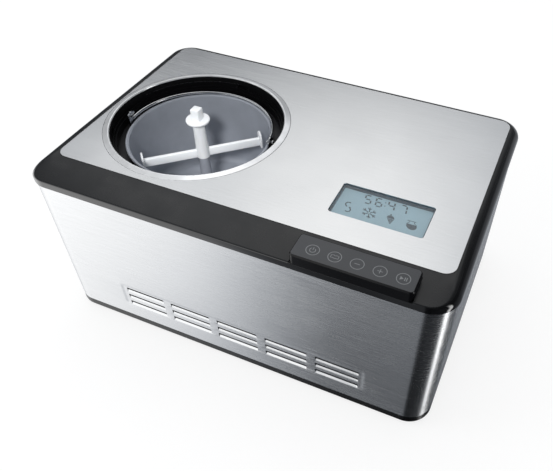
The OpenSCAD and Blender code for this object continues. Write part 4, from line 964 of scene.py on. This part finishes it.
def missing(k, j):
    """Quads that the slits and the rear window take out of the grid."""
    (x0, y0), (x1, y1) = perimeter[k], perimeter[(k + 1) % len(perimeter)]
    x = (x0 + x1) / 2
    z = (heights[j] + heights[j + 1]) / 2
    if k < len(front_line) - 1:
        in_slot = any(abs(x - cx) < slot_l / 2 for cx in slot_xs)
        return in_slot and any(cz + slit_top - slit_h < z < cz + slit_top for cz in slot_zs)
    at_back = y0 > wrap_hy - 0.01 and y1 > wrap_hy - 0.01
    return at_back and abs(x) < rear_half and rear_z[0] < z < rear_z[1]


columns = len(perimeter)
levels = len(heights)
skins = [[wrap_point(k, z, inwards) for z in heights for k in range(columns)] for inwards in (0.0, sheet_t)]
faces = []
open_quads = {(k, j) for j in range(levels - 1) for k in range(columns) if missing(k, j)}
for j in range(levels - 1):
    for k in range(columns):
        if (k, j) in open_quads:
            continue
        right_k = (k + 1) % columns
        quad = (j * columns + k, j * columns + right_k, (j + 1) * columns + right_k, (j + 1) * columns + k)
        faces.append(quad)
        faces.append(tuple(reversed([i + columns * levels for i in quad])))
edge_count = {}
for quad in faces[0::2]:
    for a, b in zip(quad, quad[1:] + quad[:1]):
        edge_count.setdefault(frozenset((a, b)), []).append((a, b))
for sides in edge_count.values():
    if len(sides) == 1:
        a, b = sides[0]
        faces.append((b, a, a + columns * levels, b + columns * levels))
wrap_piece = piece("steel_wrap_sheet", skins[0] + skins[1], faces, "wrap_steel", smooth=28)
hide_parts("steel_wrap")
print("steel wrap:", len(wrap_piece.data.vertices), "points,", len(open_quads), "open quads")

# %% [markdown]
# ## Black sleeve of painted shade in the well
# The wall of the well below the ring is covered by a black sleeve that paints shade, so that the gap round
# the bowl stays dark and the ring's crown reads as one bright line. It is a thin turned sleeve inside the
# tube.

# %% Black sleeve of painted shade in the well
shade_sleeve_r = 90.2
shade_sleeve_t = 0.35
shade_sleeve_low = ring_low.z + 0.3
shade_sleeve_high = ring_high.z - 1.6
shade_sleeve_profile = [(shade_sleeve_r, shade_sleeve_low), (shade_sleeve_r + shade_sleeve_t, shade_sleeve_low), (shade_sleeve_r + shade_sleeve_t, shade_sleeve_high),
    (shade_sleeve_r, shade_sleeve_high)]
# The sleeve is painted shade: a black surface put in the gap round the bowl, where only shade falls.
shade_sleeve = piece("well_shade_sleeve", *lathe(shade_sleeve_profile, well_x, well_y, 128), "collar_black")
print("liner:", len(shade_sleeve.data.vertices), "points from", round(shade_sleeve_low, 1), "to", round(shade_sleeve_high, 1))

# %% [markdown]
# ## Paddle
# The paddle is moulded in white plastic: a tapered post with a splash disc and a square stub for
# the drive, and a cross bar whose ends carry upright blades that scrape the bowl's wall. All its
# edges are softly rounded, as a part must be that is washed by hand. Post, disc and stub are one
# turned form joined with a rounded square, and the bar and blades are rounded boxes joined to it.

# %% Paddle
bush_top = in_mm("paddle_bush")[1].z
paddle_low, paddle_high = in_mm("paddle")
bottom = paddle_low.z
disc_z = plate_high.z + 0.8
disc_t = 2.5
disc_r = (paddle_high.x - paddle_low.x) / 2
disc_edge = 0.7
post_r = (7.2, 6.2)
post_edge = 0.5
post_fillet = 0.8
bore_r = 4.45
bore_top = bush_top + 2.5
mouth_r = 5.6
mouth_h = 1.4
bar_turn = math.radians(42)
bar_half = 66.0
bar_start = 6.0
bar_short = 1.2
bar_t = 4.0
bar_h = 9.5
blade_h = 17.0
blade_w = 15.0
blade_t = 2.6
stub_side = 9.5

profile = [(0.0, bore_top), (bore_r, bore_top), (bore_r, bottom + mouth_h), (mouth_r, bottom + mouth_h),
    (mouth_r, bottom)]
profile += arc(post_r[0] - post_edge, bottom + post_edge, post_edge, -90, 0, 4)
profile += arc(post_r[1] + post_fillet, disc_z - post_fillet, post_fillet, 180, 90, 5)
profile += arc(disc_r - disc_edge, disc_z + disc_edge, disc_edge, -90, 0, 5)
profile += arc(disc_r - disc_edge, disc_z + disc_t - disc_edge, disc_edge, 0, 90, 5)
profile += [(0.0, disc_z + disc_t)]
paddle_piece = piece("paddle_moulding", *lathe(profile, well_x, well_y, 96), "paddle_white", body=None)


def turned(points):
    """Points moved from the bar's own frame to the well, turned with the bar."""
    c, s = math.cos(bar_turn), math.sin(bar_turn)
    return [(well_x + x * c - y * s, well_y + x * s + y * c, z) for x, y, z in points]


def rounded_box(name, low, high, radius, turn=True):
    """A box with rounded edges, in the bar's frame or square to the cabinet."""
    xs, ys, zs = zip(low, high)
    corners = [[(xs[0], ys[0], z), (xs[1], ys[0], z), (xs[1], ys[1], z), (xs[0], ys[1], z)] for z in zs]
    points, faces = loft(corners)
    made = piece(name, turned(points) if turn else points, faces, "paddle_white", body=None)
    return softened(made, radius)


def blade(name, side):
    """An upright blade with a round top, tapered towards its edge."""
    half = blade_w / 2
    top = arc(0, bottom + blade_h - half, half, 0, 180, 14)
    shape = [(half, bottom)] + top + [(-half, bottom)]
    near = side * (bar_half - blade_t)
    far = side * (bar_half - 0.5)
    rings = [[(x, y, z) for y, z in shape] for x in sorted((near, far))]
    points, faces = loft(rings)
    made = piece(name, turned(points), faces, "paddle_white", body=None)
    return softened(made, 0.6, angle=50)


stub = rounded_box("stub", (well_x - stub_side / 2, well_y - stub_side / 2, disc_z + disc_t - 0.6),
    (well_x + stub_side / 2, well_y + stub_side / 2, paddle_high.z), 0.9, turn=False)
bar_end = bar_half - bar_short
arms = [rounded_box("arm", (from_x, -bar_t / 2, bottom), (to_x, bar_t / 2, bottom + bar_h), 0.7)
    for from_x, to_x in ((bar_start, bar_end), (-bar_end, -bar_start))]
ends = [blade("blade", side) for side in (1, -1)]
combine(paddle_piece, [stub] + arms + ends, "UNION", smooth=40)
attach(paddle_piece, "paddle")
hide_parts("paddle", "paddle_blades")
print("paddle:", len(paddle_piece.data.vertices), "points")

# %% [markdown]
# ## Keys
# Five touch fields are printed on the overlay in light grey: a ring round each sign, for power,
# programme, less, more, and start or pause. Ink lies on film as a very thin raised layer, so each
# sign is a flat ribbon a few hundredths of a millimetre high.

# %% Printed signs on the keys
def ribbon(line, width, low, high, closed=False):
    """A flat band of even width along a line of (x, y) points."""
    count = len(line)
    left, right_side = [], []
    for i in range(count):
        before = line[(i - 1) % count] if closed or i else line[i]
        after = line[(i + 1) % count] if closed or i < count - 1 else line[i]
        ahead = Vector((after[0] - before[0], after[1] - before[1])).normalized()
        aside = Vector((-ahead.y, ahead.x)) * width / 2
        left.append((line[i][0] + aside.x, line[i][1] + aside.y))
        right_side.append((line[i][0] - aside.x, line[i][1] - aside.y))
    if not closed:
        return prism(right_side + left[::-1], low, high)
    rings = [[(x, y, z) for x, y in ring] for ring, z in ((left, low), (left, high), (right_side, high),
        (right_side, low))]
    return loft(rings, closed=True)


def ink(name, colour, dark, light, grain, roughest, depth):
    """Ink or crystal that varies between two tones."""
    material, tree, shader = finish(name, colour, roughness=0.5)
    cloud = pattern(tree, grain, detail=3.0)
    colour_by(tree, shader, cloud, dark, light)
    roughen(tree, shader, cloud, 0.42, roughest)
    bumps(tree, shader, cloud, depth)
    return material


finishes["key_ink"] = ink("key_ink", (0.26, 0.27, 0.28), (0.22, 0.23, 0.24), (0.30, 0.31, 0.32),
    0.5 * mm, 0.60, 0.004 * mm)
key_pitch = 19.55
key_y = keys_y - 1.5
key_shift = 2.4
key_xs = [keys_x + key_shift + (i - 2) * key_pitch for i in range(5)]
ink_sunk = 0.02
ink_proud = 0.03
ink_low = keys_high.z - ink_sunk
ink_high = keys_high.z + ink_proud
ring_r = 5.65
line_w = 0.62
half_w = line_w / 2
arm_l = 2.3
signs = []


def at_key(line, index):
    """A sign's points moved onto its key."""
    return [(key_xs[index] + x, key_y + y) for x, y in line]


def print_line(line, index, width=line_w, closed=False):
    """A printed line on a key."""
    signs.append(ribbon(at_key(line, index), width, ink_low, ink_high, closed))


def print_area(outline, index):
    """A printed area on a key."""
    signs.append(prism(at_key(outline, index), ink_low, ink_high))


for index in range(5):
    print_line(arc(0, 0, ring_r, 0, 352.5, 47), index, closed=True)
print_line(arc(0, -0.2, 2.5, 128, 412, 30), 0)
print_line([(0, 0.2), (0, 3.1)], 0)
page = [(0.0, -1.7), (-1.4, -1.2), (-3.3, -1.6), (-3.3, 1.5), (-1.5, 1.9), (-0.05, 1.3)]
print_line(page, 1)
print_line([(-x, y) for x, y in page], 1)
print_line([(-arm_l, 0), (arm_l, 0)], 2)
print_area([(half_w, half_w), (arm_l, half_w), (arm_l, -half_w), (half_w, -half_w), (half_w, -arm_l),
    (-half_w, -arm_l), (-half_w, -half_w), (-arm_l, -half_w), (-arm_l, half_w), (-half_w, half_w),
    (-half_w, arm_l), (half_w, arm_l)], 3)
print_area([(-2.9, -2.0), (0.1, 0.0), (-2.9, 2.0)], 4)
for bar_x in (1.2, 2.7):
    print_line([(bar_x, -1.9), (bar_x, 1.9)], 4, width=0.75)
sign_piece = piece("key_signs", *joined(signs), "key_ink", body=None)
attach(sign_piece, "cabinet")
print("key signs:", len(signs))

# %% [markdown]
# ## Display signs
# The cell shows a time in seven-segment digits and four pictures under it: a stirring wave, a
# snowflake, an ice cream cone and a bowl. Liquid crystal segments are flat shapes a little darker
# than the field, with clean ends and small gaps.

# %% Display signs
finishes["segment_ink"] = ink("segment_ink", (0.035, 0.06, 0.08), (0.028, 0.05, 0.068), (0.042, 0.07, 0.092),
    2.5 * mm, 0.58, 0.002 * mm)

cell_top = in_mm("lcd_cell")[1].z
seg_low = cell_top - ink_sunk
seg_high = cell_top + ink_proud
digit_w = 5.6
digit_h = 10.8
seg_w = 1.45
digit_lean = -0.15
sign_lean = -0.22
sign_y = window_y - 4.3
segments = []
SEGMENTS = {"a": ((0, 1), (1, 1)), "b": ((1, 1), (1, 0.5)), "c": ((1, 0.5), (1, 0)), "d": ((0, 0), (1, 0)),
    "e": ((0, 0.5), (0, 0)), "f": ((0, 1), (0, 0.5)), "g": ((0, 0.5), (1, 0.5))}
DIGITS = {5: "afgcd", 6: "afgecd", 4: "fgbc", 7: "abc"}


def leaning(line, y0, lean):
    """Points sheared sideways by their height above a line."""
    return [(x + lean * (y - y0), y) for x, y in line]


def stroke(line, width, y0=sign_y, lean=sign_lean):
    """A crystal line."""
    segments.append(ribbon(leaning(line, y0, lean), width, seg_low, seg_high))


def blot(outline, y0=sign_y, lean=sign_lean):
    """A crystal area."""
    segments.append(prism(leaning(outline, y0, lean), seg_low, seg_high))


def digit(number, cx, cy):
    """Seven-segment digit as separate bars."""
    for letter in DIGITS[number]:
        (x0, y0), (x1, y1) = SEGMENTS[letter]
        a = Vector((cx + (x0 - 0.5) * digit_w, cy + (y0 - 0.5) * digit_h))
        b = Vector((cx + (x1 - 0.5) * digit_w, cy + (y1 - 0.5) * digit_h))
        gap = (b - a).normalized() * (seg_w * 0.55)
        stroke([tuple(a + gap), tuple(b - gap)], seg_w, cy, digit_lean)


digit_row = window_y + 12.6
for number, from_middle in ((5, -17.6), (6, -7.0), (4, 5.1), (7, 16.8)):
    digit(number, window_x + from_middle, digit_row)
for dy in (2.3, -2.3):
    blot(arc(window_x - 0.9, digit_row + dy, 0.62, 0, 330, 11), digit_row, digit_lean)

wave_x = window_x - 30.8
stroke(arc(wave_x + 0.2, sign_y + 2.9, 3.2, 60, 245, 14), 1.2)
stroke(arc(wave_x - 0.6, sign_y - 3.1, 3.2, 65, -120, 14), 1.2)
stroke([(wave_x + 0.9, sign_y + 0.1), (wave_x + 2.6, sign_y + 0.1)], 0.7)

flake_r = 7.0
centre = Vector((window_x - 10.5, sign_y))
for spoke in range(6):
    bearing = math.radians(60 * spoke + 30)
    ahead = Vector((math.cos(bearing), math.sin(bearing)))
    aside = Vector((-ahead.y, ahead.x))
    stroke([tuple(centre + ahead * 1.0), tuple(centre + ahead * flake_r)], 0.95)
    for side in (-1, 1):
        knee = centre + ahead * (flake_r * 0.62) + aside * side * 0.45
        tip = centre + ahead * (flake_r * 0.88) + aside * side * 1.75
        stroke([tuple(knee), tuple(tip)], 0.75)

cone_x = window_x + 9.8
blot(arc(cone_x, sign_y + 1.2, 3.5, -10, 190, 20))
blot(arc(cone_x, sign_y + 5.6, 0.9, 0, 330, 11))
wafer_top = sign_y + 0.15
wafer_half = 3.3
wafer_h = 7.2
for row in range(4):
    high_y = wafer_top - row * 1.65
    low_y = high_y - 1.35
    high_half = wafer_half * (1 - (wafer_top - high_y) / wafer_h)
    low_half = wafer_half * (1 - (wafer_top - low_y) / wafer_h)
    blot([(cone_x - high_half, high_y), (cone_x - low_half, low_y), (cone_x + low_half, low_y),
        (cone_x + high_half, high_y)])

pot_x = window_x + 29.6
blot(arc(pot_x, sign_y - 0.9, 4.9, 158, 382, 26))
stroke([(pot_x - 4.2, sign_y + 5.0), (pot_x + 4.2, sign_y + 5.0)], 0.7)
for side in (-1, 1):
    stroke([(pot_x + side * 2.3, sign_y + 4.5), (pot_x + side * 2.3, sign_y + 3.1),
        (pot_x + side * 4.4, sign_y + 0.9)], 0.6)
segment_piece = piece("display_signs", *joined(segments), "segment_ink", body=None)
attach(segment_piece, "cabinet")
print("display segments:", len(segments))
